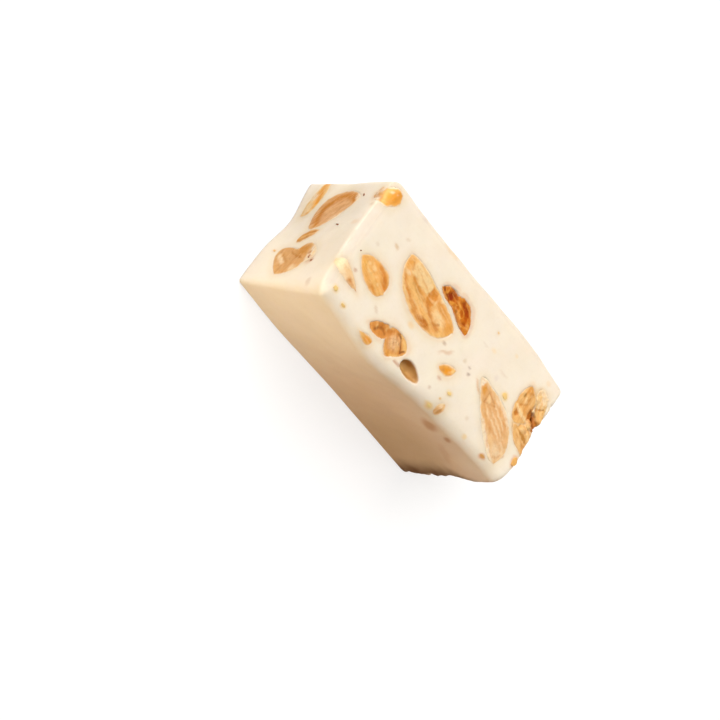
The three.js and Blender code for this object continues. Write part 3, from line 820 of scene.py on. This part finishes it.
        dab((-0.1, 0.6), (2, 2.6), FILM, 0.95, 0.02),
        dab((3.2, -0.6), (3, 2.4), CREAM, 0.6),
        dab((4.2, -2), (1.2, 0.9), (230, 158, 70), 0.8, -0.03),
    ]),
    Almond("far_end_large", "far_end", [Kernel((-3.5, 12.5), 28, (20, 9.5, 8), 0.25, (0.5, 0.7))]),
    Almond("far_end_small", "far_end", [Kernel((9.3, 16.5), 105, (11, 6.4, 7), -0.3, (0.4, 0.65))],
           slot="almond_tan", base=TAN, rim=PALE, tones=(PALE, BISCUIT)),
    Almond("far_end_chip", "far_end", [Kernel((-9.5, 22), 345, (6.5, 3.4, 4), 0.3, (0.6, 0.8))],
           base=HONEY),
    Almond("far_side_large", "far_side", [Kernel((15, 19), 328, (16, 6.6, 6), 0.3, (0.5, 0.75))]),
    Almond("far_side_small", "far_side", [Kernel((-15, 12), 24, (9.5, 4.4, 5), -0.35, (0.45, 0.7))],
           base=HONEY),
    Almond("base_large", "base", [Kernel((-17, 4.5), 38, (22, 10, 8), 0.3, (0.48, 0.65))]),
    Almond("base_middle", "base", [Kernel((4.5, -5.5), 162, (19, 8.6, 8), -0.4, (0.5, 0.6))],
           slot="almond_tan", base=TAN, rim=PALE, tones=(PALE, BISCUIT)),
    Almond("base_far", "base", [Kernel((23, 4.5), 75, (14, 7.6, 7), 0.2, (0.45, 0.75))]),
    Almond("base_chip", "base", [Kernel((-24, -9), 10, (7.5, 4, 4), 0.4, (0.7, 0.7))], base=HONEY),
]

EMPTY_BED = Kernel((-4.6, -11.6), 0, (7.2, 3.5, 3.4), 0.18, (0.4, 0.66))
# The empty bed is tan with skin its almond left. Its lighter patch is painted light where the hollow lies in
# shade, its darker patches painted shade
BED_MARKS = [
    dab((-2.4, 0.4), (2.6, 2.6), (226, 176, 106)),
    dab((-0.9, 1.7), (1.6, 0.8), (186, 120, 36), 0.9),
    dab((0.8, -0.8), (6, 1.2), (168, 118, 56), 0.9),
    dab((2.9, 0.1), (2.6, 1.4), (184, 132, 68), 0.9),
]
BREAKS = [
    Kernel((36.2, 8.4), 300, (5, 1.6, 3), 0, (0.5, 0.5)),
    Kernel((36.4, 1.4), 284, (8, 3.6, 8), 0, (0.5, 0.5)),
]
CRACK = Kernel((33.4, 2.9), 160, (9, 1.6, 7), 0, (0.5, 0.8))
BROKEN_CORNER = (34.5, 4.0, 32.5)

SINK_REACH = 2.0  # how far down an almond's sides follow its cut face
HIGHEST_RISE = 0.09  # how far an unbroken almond may stand out of the nougat's face
DEEPEST_PIT = 0.5


def crumpled(colours, local, palette, seed):
    """Folds of dark skin: pits, slopes and bright edges along the kernel. Gives the heights."""
    pits, slopes, edges = palette
    bent = local + 0.8 * layered(local, 2.5, 2, seed + 1)[:, None]
    fold = 1 - 1.7 * np.abs(noise(bent, (3.4, 1.7, 2.0), seed))
    small = layered(local, (1.5, 0.8, 1.0), 2, seed + 3)
    crest = ramp(fold + 0.2 * small, 0.7, 1.05)
    pit = ramp(fold + 0.3 * small, 0.35, -0.3)
    blend(colours, 0.5 * ramp(small, -0.2, 0.6), slopes)
    blend(colours, 0.7 * crest, edges)
    blend(colours, 0.8 * pit, pits)
    return 0.14 * crest - 0.16 * pit


def crumbled(colours, x, y, patch, seed):
    """A patch of crumbs: pale lumps of uneven height with brown gaps. Gives the heights."""
    at, size, palette = patch
    cover = dab(at, size, WHITE)[0](x, y)
    gaps, lumps = [srgb(colour) for colour in palette]
    draw = np.random.default_rng(seed)
    spots = draw.uniform(-5, 5, (150, 2))
    tall = draw.uniform(0, 1, len(spots))
    away = np.hypot(x[:, None] - spots[:, 0], y[:, None] - spots[:, 1])
    nearest = np.argmin(away, 1)
    away.partition(1, axis=1)
    high = ramp(away[:, 1] - away[:, 0], -0.15, 0.22) * (0.55 + 0.45 * tall[nearest])
    mixed = gaps + high[:, None] * (lumps - gaps)
    colours += cover[:, None] * (mixed - colours)
    return cover * (0.28 * high - 0.1)


def crevice(points):
    """1 in the dark crevice between the fragments of the broken corner."""
    inside = rim_distance("top", CRACK, points + np.array([0.5, 0, 0])) + 0.3 * noise(points, 1.2, 61)
    return ramp(inside, -0.75, -0.05) * ramp(points[:, 0], 30.2, 31.2) * ramp(points[:, 2], 29.6, 31.4)


def cut_relief(points, out):
    """Low bumps that the knife left over nougat and almonds alike."""
    broad = noise(points, 8.0, 11)
    middle = noise(points, 2.8, 12)
    drag = noise(points, (13.0, 1.2, 1.2), 14) * np.abs(out[:, 2])
    ripples = noise(points, (3.0, 30.0, 20.0), 15) * np.clip(-out[:, 1], 0, 1)
    return 0.08 * broad + 0.016 * middle + 0.012 * drag + 0.05 * ripples


def dress_almond(piece, spec, seed):
    """Height and colour of an almond's cut face."""
    mesh = piece.data
    points = points_of(mesh)
    _, out, depth = nearest_on_block(points)
    one = spec.kernels[spec.frame_of]
    x, y = local_places(spec.face, one, points)
    light, dark = spec.tones
    local = np.stack([x, y, np.zeros(len(x))], 1)

    fibre = layered(local + 0.5 * noise(points, 2.5, seed + 8)[:, None], (3.6, 0.62, 1.0), 3, seed + 5)
    blotch = noise(points, 1.9, seed + 6)
    pores = ramp(noise(points, 0.6, seed + 7), 0.35, 0.8)
    marks = spec.marks or plain_marks(one.size, seed)
    colours, rise = painted(points, x, y, spec.base, marks, 0.28, seed)
    if spec.folds:
        rise += crumpled(colours, local, spec.folds, seed + 10)
    if spec.rough:
        rise += crumbled(colours, x, y, spec.rough, seed + 12)
    blend(colours, 0.42 * ramp(fibre, 0.0, 0.8), light)
    blend(colours, 0.48 * ramp(-fibre, 0.0, 0.8), dark)
    colours *= (1 + 0.05 * blotch + 0.04 * noise(points, 0.45, seed + 11) - 0.06 * pores)[:, None]

    inside = np.max([rim_distance(spec.face, k, points) for k in spec.kernels], 0)
    inside = inside + spec.wobble * layered(points, 1.5, 2, seed + 3)
    blend(colours, 0.25 * ramp(inside, 0.9, 0.2), spec.rim)
    blend(colours, spec.film * ramp(inside, 0.4, -0.1), FILM)

    # painted shade where the crevice runs over broken fragments
    seam = crevice(points) if spec.crags else np.zeros(len(points))
    blend(colours, 0.95 * seam, CREVICE_SHADE)
    height = 0.6 * rise - spec.sunk - 0.5 * seam + 0.025 * fibre + 0.03 * blotch - 0.03 * pores
    height += spec.crags * layered(points, 2.6, 3, seed + 13)
    height = np.clip(height, -DEEPEST_PIT, HIGHEST_RISE + spec.crags)
    height -= 0.1 * ramp(inside, 0.1, -0.4)
    weight = np.clip(1 - depth / SINK_REACH, 0, 1)
    points += out * ((height + cut_relief(points, out)) * weight)[:, None]
    set_points(mesh, points)
    set_tint(mesh, colours)


# ---- materials


def fill(tree, node, inputs):
    """Sets a node's inputs, each to a constant or to the output of another node."""
    for name, value in inputs.items():
        if isinstance(value, bpy.types.NodeSocket):
            tree.links.new(value, node.inputs[name])
        else:
            node.inputs[name].default_value = value
    return node


def new_node(tree, kind, inputs, **settings):
    node = tree.nodes.new("ShaderNode" + kind)
    for name, value in settings.items():
        setattr(node, name, value)
    return fill(tree, node, inputs)


def noise_node(tree, per_mm, detail):
    """A noise texture over the object's own coordinates, with so many bumps a millimetre."""
    place = new_node(tree, "TexCoord", {}).outputs["Object"]
    scaled = new_node(tree, "Mapping", {"Vector": place, "Scale": [per_mm / MM] * 3}).outputs["Vector"]
    return new_node(tree, "TexNoise", {"Vector": scaled, "Scale": 1, "Detail": detail}).outputs["Fac"]


def stops(tree, value, low, middle, high):
    """Three colours over a noise value."""
    node = new_node(tree, "ValToRGB", {"Fac": value})
    elements = node.color_ramp.elements
    for element, place, colour in zip(elements, (0.3, 0.7), (low, high)):
        element.position = place
        element.color = (*colour, 1)
    elements.new(0.5).color = (*middle, 1)
    return node.outputs["Color"]


def food_material(name, scatter, gloss, variation, bumps, shine=0.5):
    """A soft, slightly see-through food surface that takes its colour from the mesh's tint.

    scatter is its share and reach in millimetres, gloss the range of roughness, variation three colours
    that a fine noise multiplies in, and bumps pairs of bumps a millimetre and strength.
    """
    material = bpy.data.materials.new(name)
    material.use_nodes = True
    tree = material.node_tree
    tint = new_node(tree, "Attribute", {}, attribute_name="tint").outputs["Color"]
    fine = stops(tree, noise_node(tree, 1.3, 4), *variation)
    mix = {"data_type": "RGBA", "blend_type": "MULTIPLY"}
    colour = new_node(tree, "Mix", {"Factor": 1, "A": tint, "B": fine}, **mix)
    low, high = gloss
    rough = new_node(tree, "MapRange", {
        "Value": noise_node(tree, 0.5, 3), "From Min": 0.3, "From Max": 0.7, "To Min": low, "To Max": high,
    })
    normal = {}
    for per_mm, strength in bumps:
        lumps = {"Height": noise_node(tree, per_mm, 3), "Strength": strength, "Distance": 0.1 * MM}
        normal = {"Normal": new_node(tree, "Bump", {**lumps, **normal}).outputs["Normal"]}
    fill(tree, tree.nodes["Principled BSDF"], {
        "Base Color": colour.outputs["Result"],
        "Roughness": rough.outputs["Result"],
        "Subsurface Weight": scatter[0],
        "Subsurface Radius": (1.0, 0.92, 0.84),
        "Subsurface Scale": scatter[1] * MM,
        "IOR": 1.45,
        "Specular IOR Level": shine,
        **normal,
    })
    return material


NOUGAT = food_material(
    "nougat_surface", scatter=(0.45, 1.6), gloss=(0.55, 0.72),
    variation=((0.985, 0.975, 0.965), (1, 1, 1), (1, 0.995, 0.99)), bumps=((0.6, 0.15), (2.4, 0.12)),
)
ALMOND_MATERIALS = {
    slot: food_material(
        slot + "_surface", scatter=(0.2, 0.8), gloss=(0.52, 0.74),
        variation=((0.93, 0.9, 0.86), (1, 1, 1), (1, 0.99, 0.96)), bumps=((1.2, 0.4), (4.0, 0.3)),
        shine=0.2 if slot == "almond_dark" else 0.5,
    )
    for slot in ("almond_golden", "almond_tan", "almond_pale", "almond_dark")
}

# ---- build the almonds

pockets = []
almond_pieces = []
for number, spec in enumerate(ALMONDS):
    seed = 100 + 20 * number
    solids = [kernel_object(spec.name, spec.face, one, TUCK, spec.ragged, seed) for one in spec.kernels]
    piece = solids[0]
    for other in solids[1:]:
        combine(piece, "UNION", other)
    combine(piece, "INTERSECT", BLOCK)
    for earlier in pockets:
        if any(boxes_meet(solid, earlier) for solid in solids):
            combine(piece, "DIFFERENCE", earlier)
    remesh(piece, ALMOND_VOXEL)
    for other in solids[1:]:
        bpy.data.objects.remove(other)
    dress_almond(piece, spec, seed)
    almond_pieces.append(piece)
    for one in spec.kernels:
        pockets.append(kernel_object("pocket", spec.face, one, -LIP, spec.ragged, seed))

# ---- the nougat

hollows = [kernel_object("hollow", "top", one, 0, 0.25, 7) for one in [EMPTY_BED, CRACK, *BREAKS]]
for hollow in [*pockets, *hollows]:
    combine(BLOCK, "DIFFERENCE", hollow)
remesh(BLOCK, NOUGAT_VOXEL)
BLOCK.name = "nougat_body"
for hollow in [*pockets, *hollows]:
    bpy.data.objects.remove(hollow)

TORN_EDGE = 0.8  # how far the upright edge between the shaded side and the far end stands out
EVEN_LIGHT = 0.71  # ridges that face the main light more squarely than this get painted shade that cuts their light down to this
KEY = np.array([-0.57, 0.375, 0.72])  # where the main light comes from
HALO_REACH = 2.2
STAINS_AND_SHADE = {  # on each face: place, size, turn, colour and share of soft marks in the nougat: stains, and painted shade at the crack
    "top": [
        ((-33, -12.4), (1.8, 1.5), 0, YELLOW, 0.7),
        ((-29.2, -13.4), (1.6, 1.2), 0, YELLOW, 0.7),
        ((-14, 14.7), (5, 1.6), 5, STRAW, 0.35),
        ((-25, 14.6), (2.2, 1.6), 0, (226, 208, 196), 0.35),
        ((16.4, 2.8), (1.4, 1.3), 0, (228, 208, 192), 0.35),
        ((-26.8, 4.6), (1.6, 0.9), -15, (206, 164, 96), 0.55),
        ((-25.5, 7.8), (1.4, 0.8), 20, OLIVE, 0.25),
        ((-30.6, 1.4), (1.2, 0.8), 0, OLIVE, 0.2),
        ((-22, -7.7), (2, 0.8), -30, (206, 176, 140), 0.4),
        ((-12, -4.1), (2, 1.3), 0, PALE, 0.7),
        ((-1.5, -1.4), (1.3, 0.8), 0, (190, 155, 120), 0.6),
        ((17.5, 4.8), (2.6, 0.6), 5, (226, 200, 172), 0.35),
        ((16.4, -9.5), (1.2, 1), 0, OLIVE, 0.2),
        ((8.3, 6), (2.2, 0.5), 0, (226, 200, 172), 0.3),
        ((8.3, -0.7), (0.9, 0.6), 0, (160, 130, 108), 0.5),
        ((9.1, -1.9), (1, 0.7), 30, (150, 118, 96), 0.6),
        ((6.1, -0.4), (1.1, 1), 0, (215, 190, 150), 0.5),
        ((3, -7.8), (1.4, 0.8), 10, (206, 144, 100), 0.6),
        ((2.3, -11.1), (0.9, 0.7), 0, (205, 170, 136), 0.5),
        ((11.3, 6.6), (1.8, 1), 0, YELLOW, 0.35),
        ((17.6, 10), (1.1, 0.8), 0, YELLOW, 0.35),
        ((9.4, 10.2), (1.2, 1), 0, STRAW, 0.3),
        ((8, -8.6), (2, 1.4), 15, YELLOW, 0.7),
        ((5.8, -14.9), (2.8, 1.2), 0, YELLOW, 0.9),
        ((19.5, -13.6), (1.4, 1.1), 0, YELLOW, 0.6),
        ((21.6, 1.6), (2.2, 1.9), 0, YELLOW, 0.85),
        ((6.7, -11.2), (0.9, 0.8), 0, PALE, 0.5),
        ((30.8, 8.6), (4.2, 3.2), 20, PALE, 0.7),
        ((30.2, 12.5), (1.6, 1.2), 0, PALE, 0.4),
        ((34.5, -8), (2.2, 2.8), 0, HONEY, 0.85),
        ((27, -14), (2, 1.1), 0, AMBER, 0.8),
        ((-31.5, -6.3), (1.1, 0.8), 0, BROWN, 0.5),
        ((0.3, -2.6), (4.2, 0.9), 38, (222, 178, 130), 0.55),
        ((29.9, 4.6), (4, 9), 0, (240, 190, 124), 0.9),
        ((29.6, -0.8), (5, 4.4), 0, (240, 190, 124), 0.85),
        ((33.8, 1.2), (6, 9), 0, (236, 182, 112), 0.9),
        # painted shade in and beside the crack at the broken corner
        ((35, 2.2), (2, 4.4), 14, (150, 78, 4), 0.9),
        ((33.2, 3.4), (3.4, 1.2), -20, (160, 86, 8), 0.9),
        ((30.6, -9.8), (1.6, 1.1), 20, (220, 158, 90), 0.7),
        ((13.8, -2.3), (5, 0.7), -33, (222, 164, 104), 0.6),
    ],
    "near_end": [
        ((-13.5, 26.7), (1.8, 1.6), 0, (210, 186, 158), 0.5),
        ((2.5, 29.5), (1.4, 2.6), 0, GOLD, 0.25),
        ((-5.9, 5.5), (0.9, 2.2), 20, GOLD, 0.35),
        ((7.6, 31), (1, 1.4), 0, OLIVE, 0.25),
        ((-7.5, 21.5), (3, 2.6), 0, (226, 176, 132), 0.6),
        ((-7.9, 22.7), (1, 0.7), 60, (200, 140, 96), 0.7),
        ((-7.3, 20.9), (1, 0.7), 120, (190, 124, 76), 0.7),
    ],
    "shade_side": [
        ((12.6, 28.6), (4.6, 3.2), -10, (200, 146, 88), 0.6),
        ((18.4, 30), (2.4, 1.4), -20, (196, 140, 84), 0.6),
        ((24.5, 24), (8, 2.2), -20, (226, 190, 156), 0.3),
    ],
}


def beside_almonds(points):
    """Colour of the nearest almond and its distance, for points within the halos' reach of one."""
    tints = np.repeat(srgb(WHITE)[None], len(points), 0)
    gap = np.full(len(points), HALO_REACH)
    for almond_piece in almond_pieces:
        there = points_of(almond_piece.data)
        own = tints_of(almond_piece.data)
        low, high = there.min(0) - HALO_REACH, there.max(0) + HALO_REACH
        close = np.flatnonzero(((points > low) & (points < high)).all(1))
        tree = KDTree(len(there))
        for i, point in enumerate(there.tolist()):
            tree.insert(point, i)
        tree.balance()
        for i in close.tolist():
            _, index, distance = tree.find(points[i])
            if distance < gap[i]:
                gap[i] = distance
                tints[i] = own[index]
    return tints, gap


def stain(colours, points):
    """Soft marks in the nougat's faces: stains, and painted shade at the crack of the broken corner."""
    rows = [(face, *row) for face, marks in STAINS_AND_SHADE.items() for row in marks]
    for number, (face, place, size, turn, colour, share) in enumerate(rows):
        _, u, v, straight = np.array(FACES[face], float)
        offset = points - on_face(face, place)[0]
        close = np.flatnonzero((offset**2).sum(1) < (1.5 * max(size)) ** 2)
        offset = offset[close]
        wander = 0.1 * max(1, *size) * layered(points[close], 0.4 * (1 + max(size)), 2, 300 + number)
        mask = dab((0, 0), size, colour, turn=turn)[0]
        cover = mask(offset @ u + wander, offset @ v - wander) * share * ramp(-(offset @ straight), 4, 2)
        some = colours[close]
        blend(some, cover, colour)
        colours[close] = some


def colour_hollows(colours, points, depth):
    """The empty bed, partly painted light and shade, with the brown tail beside it, and painted shade in the
    crevice and deep in the breaks, all in the top.
    """
    on_top = points[:, 2] > BAR[2] / 2
    x, y = local_places("top", EMPTY_BED, points)
    in_bed = ramp(rim_distance("top", EMPTY_BED, points), -0.35, 0.15) * ramp(depth, -0.1, 0.3) * on_top
    bed, _ = painted(points, x, y, (204, 152, 84), BED_MARKS, 0.1, 41)
    colours += in_bed[:, None] * (bed - colours)
    tail = stroke([(-5.4, -1.0), (-3.4, -0.9)], 0.4, BROWN)[0](x, y) * on_top
    blend(colours, 0.8 * tail, BROWN)
    # painted shade in the crevice
    blend(colours, 0.95 * crevice(points), CREVICE_SHADE)
    # painted shade deep in the breaks
    for one in BREAKS:
        broken = ramp(rim_distance("top", one, points), -0.5, 0.3) * ramp(depth, 0.15, 0.8) * on_top
        blend(colours, 0.9 * broken, BREAK_SHADE)


def shade(colours, points, out, lumps):
    """Painted shade: a warmer, darker foot of the shaded side, a dark band on its torn edge, and darker
    ridges that face the main light.
    """
    side = np.clip(-out[:, 1], 0, 1)
    # painted shade: the far and lower part of the shaded side darker and warmer
    low = ramp(points[:, 0], -14, 26) * ramp(points[:, 2], 33, 14) * side
    colours *= 1 - low[:, None] * np.array([0.24, 0.26, 0.36])
    # painted shade: a dark brown band along the upright edge between the shaded side and the far end, wider
    # lower down
    start = 28.0 + 6.0 * ramp(points[:, 2], 18, 31)
    edge = ramp(points[:, 0] + 0.8 * lumps, start, 36.5) * np.clip(1.6 * side - 0.6, 0, 1)
    edge *= ramp(points[:, 2], 34, 28)
    blend(colours, 0.94 * edge, EDGE_SHADE)
    # painted shade: ridges that face the main light squarely are darkened to the light of flatter faces
    colours *= np.minimum(1, EVEN_LIGHT / np.maximum(out @ KEY, 0.1))[:, None]
    # painted shade along the ridge between the top and the near end
    colours *= 1 - 0.06 * ramp(0.7 * (out[:, 2] - out[:, 0]), 0.8, 0.98)[:, None]


def dress_nougat(piece):
    """Height and colour of the nougat's surface."""
    mesh = piece.data
    points = points_of(mesh)
    foot, out, depth = nearest_on_block(points)
    outside = ramp(depth, 0.3, 0.08)
    points += (foot - points) * outside[:, None]
    set_points(mesh, points)
    normals = values_of(mesh.vertex_normals, "vector", 3)

    broad = noise(points, 8.0, 11)
    middle = noise(points, 2.8, 12)
    fine = noise(points, 1.1, 13)
    lumps = layered(points, 3.4, 2, 23)
    crumbly = ramp(np.linalg.norm(points - np.array(BROKEN_CORNER), axis=1), 7.5, 3.0)
    height = cut_relief(points, out) + 0.015 * fine
    height += crumbly * 0.6 * layered(points, 1.7, 2, 16)
    height *= ramp(points[:, 2], 0.2, 1.2)
    torn = ramp(points[:, 0], 33.4, 35.4) * ramp(-points[:, 1], 12.5, 15) * ramp(points[:, 2], 31, 25)

    colours = np.repeat(srgb(WHITE)[None], len(points), 0)
    colours *= (1 + 0.012 * broad + 0.012 * middle)[:, None]
    colours[:, 2] *= 1 - 0.025 * noise(points, 5.5, 21) - 0.015 * fine
    colours[:, 1] *= 1 - 0.006 * noise(points, 6.5, 22)
    tint, gap = beside_almonds(points)
    blend(colours, 0.3 * ramp(gap + 0.4 * middle, HALO_REACH, 0.2), HALO)
    colours += (0.35 * ramp(gap + 0.15 * fine, 0.7, 0.0))[:, None] * (tint - colours)
    stain(colours, points)
    colour_hollows(colours, points, depth)
    shade(colours, points, out, lumps)

    points += normals * (height * ramp(depth, 1.2, 0.2))[:, None]
    points[:, 0] += TORN_EDGE * torn * (0.8 + 1.4 * lumps)
    points[:, 2] = np.maximum(points[:, 2], 0)
    set_points(mesh, points)
    set_tint(mesh, colours)


dress_nougat(BLOCK)
finished(BLOCK, "nougat", NOUGAT, "nougat")
for piece, spec in zip(almond_pieces, ALMONDS):
    piece.name = spec.name + "_cut"
    finished(piece, spec.slot, ALMOND_MATERIALS[spec.slot], spec.name)

# ---- specks of almond and flecks of skin


def ball():
    """Points and faces of a small sphere."""
    work = bmesh.new()
    bmesh.ops.create_icosphere(work, subdivisions=3, radius=1)
    points = np.array([vertex.co for vertex in work.verts])
    faces = np.array([[vertex.index for vertex in face.verts] for face in work.faces])
    work.free()
    return points, faces


BALL_POINTS, BALL_FACES = ball()


def grain(face, place, size, turn, colour, proud, seed):
    """An irregular bit in a face: its size along, across and through, standing proud by so much."""
    centre, out = on_face(face, place)
    _, u, v, _ = np.array(FACES[face], float)
    along = math.cos(math.radians(turn)) * u + math.sin(math.radians(turn)) * v
    along -= out * (along @ out)
    along /= np.linalg.norm(along)
    across = np.cross(out, along)
    uneven = 1 + 0.35 * layered(BALL_POINTS + seed * 3.1, 1.1, 2, seed)
    local = BALL_POINTS * uneven[:, None] * np.array(size) / 2
    local[:, 2] = np.minimum(local[:, 2], proud + 0.02 * noise(BALL_POINTS, 0.4, seed))
    points = centre + local @ np.array([along, across, out])
    tone = 1 + 0.06 * noise(points, 0.7, seed + 1)
    return points, srgb(colour)[None] * tone[:, None]


def grains(rows, depth, proud, seed):
    """Bits in the faces for rows of face, place, size, turn and colour."""
    return [
        grain(face, place, (*size, depth), turn, colour, proud, seed + number)
        for number, (face, place, size, turn, colour) in enumerate(rows)
    ]


def joined_grains(name, slot, parts):
    faces = [BALL_FACES + number * len(BALL_POINTS) for number in range(len(parts))]
    piece = object_from(name, np.concatenate([points for points, _ in parts]), np.concatenate(faces))
    set_tint(piece.data, np.concatenate([colours for _, colours in parts]))
    finished(piece, slot, ALMOND_MATERIALS[slot])


SPECKS = [  # face, place, size, turn and colour of almond bits that show crisply
    ("top", (8, -8.6), (1.3, 0.8), 20, YELLOW),
    ("top", (5.6, -14.9), (1.7, 0.7), 0, (253, 222, 150)),
    ("top", (21.6, 1.6), (1.5, 1.3), 0, (250, 206, 132)),
    ("top", (6.7, -11.2), (0.6, 0.5), 0, PALE),
    ("top", (9.4, 10.2), (0.6, 0.5), 0, PALE),
    ("top", (34.5, -8), (1.6, 2.2), 10, GOLD),
    ("top", (27, -14), (1.6, 0.8), 0, GOLD),
    ("top", (-33, -12.4), (1.3, 1), 0, YELLOW),
    ("top", (-29.2, -13.4), (1.2, 0.7), 0, (251, 206, 128)),
    ("near_end", (-5.9, 5.6), (0.4, 1.2), 20, STRAW),
]
FLECKS = [  # face, place, size and turn of bits of brown skin
    ("near_end", (1.9, 23.5), (1.7, 0.5), 100),
    ("near_end", (10.7, 24.9), (1.1, 0.4), 140),
    ("near_end", (-8, 22.6), (0.6, 0.35), 60),
    ("near_end", (-7.3, 20.9), (0.6, 0.35), 120),
    ("top", (-32.9, -2.6), (0.5, 0.3), 20),
]


def scattered(count, seed):
    """Faces, places, sizes and turns for bits on the faces that show few of them."""
    draw = np.random.default_rng(seed)
    for _ in range(count):
        face = str(draw.choice(["far_end", "far_side", "far_side", "base", "base"]))
        reach = 13 if face == "far_end" else 33
        middle = 0 if face == "base" else BAR[2] / 2
        place = (draw.uniform(-1, 1) * reach, middle + draw.uniform(-1, 1) * 12)
        size = draw.uniform(0.6, 1.8)
        yield face, place, (size, size * draw.uniform(0.5, 0.9)), draw.uniform(0, 180)


hues = itertools.cycle([YELLOW, STRAW, GOLD, PALE])
more_specks = [(*row, hue) for row, hue in zip(scattered(34, 5), hues)]
thin = [(face, place, (size[0], size[0] * 0.3), turn, SKIN) for face, place, size, turn in scattered(9, 6)]
shown = [(*row, SKIN) for row in FLECKS]
specks = grains(SPECKS, 0.8, 0.03, 0) + grains(more_specks, 0.8, 0.02, 50)
flecks = grains(shown, 0.5, 0.05, 200) + grains(thin, 0.5, 0.04, 240)
joined_grains("specks_golden", "almond_golden", specks)
joined_grains("flecks_skin", "almond_dark", flecks)

# ---- floor, camera and light


def floor(size):
    corners = [(-size, -size, 0), (size, -size, 0), (size, size, 0), (-size, size, 0)]
    piece = object_from("floor", corners, [(0, 1, 2, 3)])
    material = bpy.data.materials.new("floor_surface")
    material.use_nodes = True
    fill(material.node_tree, material.node_tree.nodes["Principled BSDF"], {
        "Base Color": (0.3, 0.3, 0.3, 1),
        "Roughness": 0.9,
        "Emission Color": (1, 1, 1, 1),
        "Emission Strength": 0.72,  # a lit table, whose shadows stay faint
    })
    material.cycles.emission_sampling = "NONE"
    piece.data.materials.append(material)
    piece.visible_diffuse = False  # so that it doesn't light the bar from below
    piece.visible_glossy = False


def turned(piece, quaternion):
    piece.rotation_mode = "QUATERNION"
    piece.rotation_quaternion = quaternion


AIM = (-1.29, -8.66, 10.11)  # what the camera looks at, in the row frame and millimetres
DISTANCE = 400
AZIMUTH, ELEVATION, ROLL, FIELD_OF_VIEW = np.radians([-55.82, 50.26, 98.01, 24.0])


def camera():
    data = bpy.data.cameras.new("camera")
    data.sensor_width = 36
    data.lens = data.sensor_width / 2 / math.tan(FIELD_OF_VIEW / 2)
    data.clip_start = 0.01
    data.clip_end = 20
    flat = math.cos(ELEVATION)
    back = Vector((math.sin(AZIMUTH) * flat, -math.cos(AZIMUTH) * flat, math.sin(ELEVATION)))
    piece = added("camera", data)
    piece.location = Vector(AIM) * MM + back * DISTANCE * MM
    turned(piece, (-back).to_track_quat("-Z", "Y") @ Euler((0, 0, ROLL)).to_quaternion())
    bpy.context.scene.camera = piece


def lamp(name, kind, towards, strength, colour):
    """A light that shines from a direction."""
    data = bpy.data.lights.new(name, kind)
    data.energy = strength
    data.color = colour
    piece = added(name, data)
    turned(piece, Vector(towards).to_track_quat("Z", "Y"))
    return piece


def soft_box(name, at, aim, size, power, colour):
    """A square light at a place, facing another one, in millimetres and watts."""
    piece = lamp(name, "AREA", Vector(at) - Vector(aim), power, colour)
    piece.data.size = size * MM
    piece.visible_camera = False
    piece.location = Vector(at) * MM


def world(above, below):
    """Light from all round, with one colour above the horizon and another below it."""
    sky = bpy.data.worlds.new("studio")
    sky.use_nodes = True
    tree = sky.node_tree
    direction = new_node(tree, "TexCoord", {}).outputs["Generated"]
    height = new_node(tree, "SeparateXYZ", {"Vector": direction}).outputs["Z"]
    share = new_node(tree, "MapRange", {"Value": height, "From Min": -0.1, "From Max": 0.05})
    colours = {"Factor": share.outputs["Result"], "A": (*below, 1), "B": (*above, 1)}
    mixed = new_node(tree, "Mix", colours, data_type="RGBA")
    fill(tree, tree.nodes["Background"], {"Color": mixed.outputs["Result"]})
    bpy.context.scene.world = sky


floor(3.0)
camera()
lamp("key", "SUN", KEY, 4.3, (1.0, 1.0, 1.0)).data.angle = math.radians(70)
soft_box("far_fill", (130, 15, 25), (37, 0, 17), 60, 0.055, (1.0, 0.97, 0.92))
soft_box("near_fill", (-110, 50, 20), (-37, 4, 18), 70, 0.010, (0.45, 0.72, 1.0))
soft_box("near_side_fill", (-72, 46, 30), (-37, 12, 20), 30, 0.0028, (0.9, 0.95, 1.0))
soft_box("bounce", (-50, -64, 8), (-28, -15, 15), 50, 0.037, (1.0, 0.89, 0.70))
soft_box("side_fill", (46, -62, 36), (31, -15, 28), 24, 0.006, (1.0, 0.93, 0.82))
soft_box("warm_bounce", (20, -70, 8), (15, -15, 15), 60, 0.006, (1.0, 0.34, 0.05))
world((0.04, 0.035, 0.03), (0.16, 0.08, 0.03))
bpy.context.scene.view_settings.view_transform = "Standard"
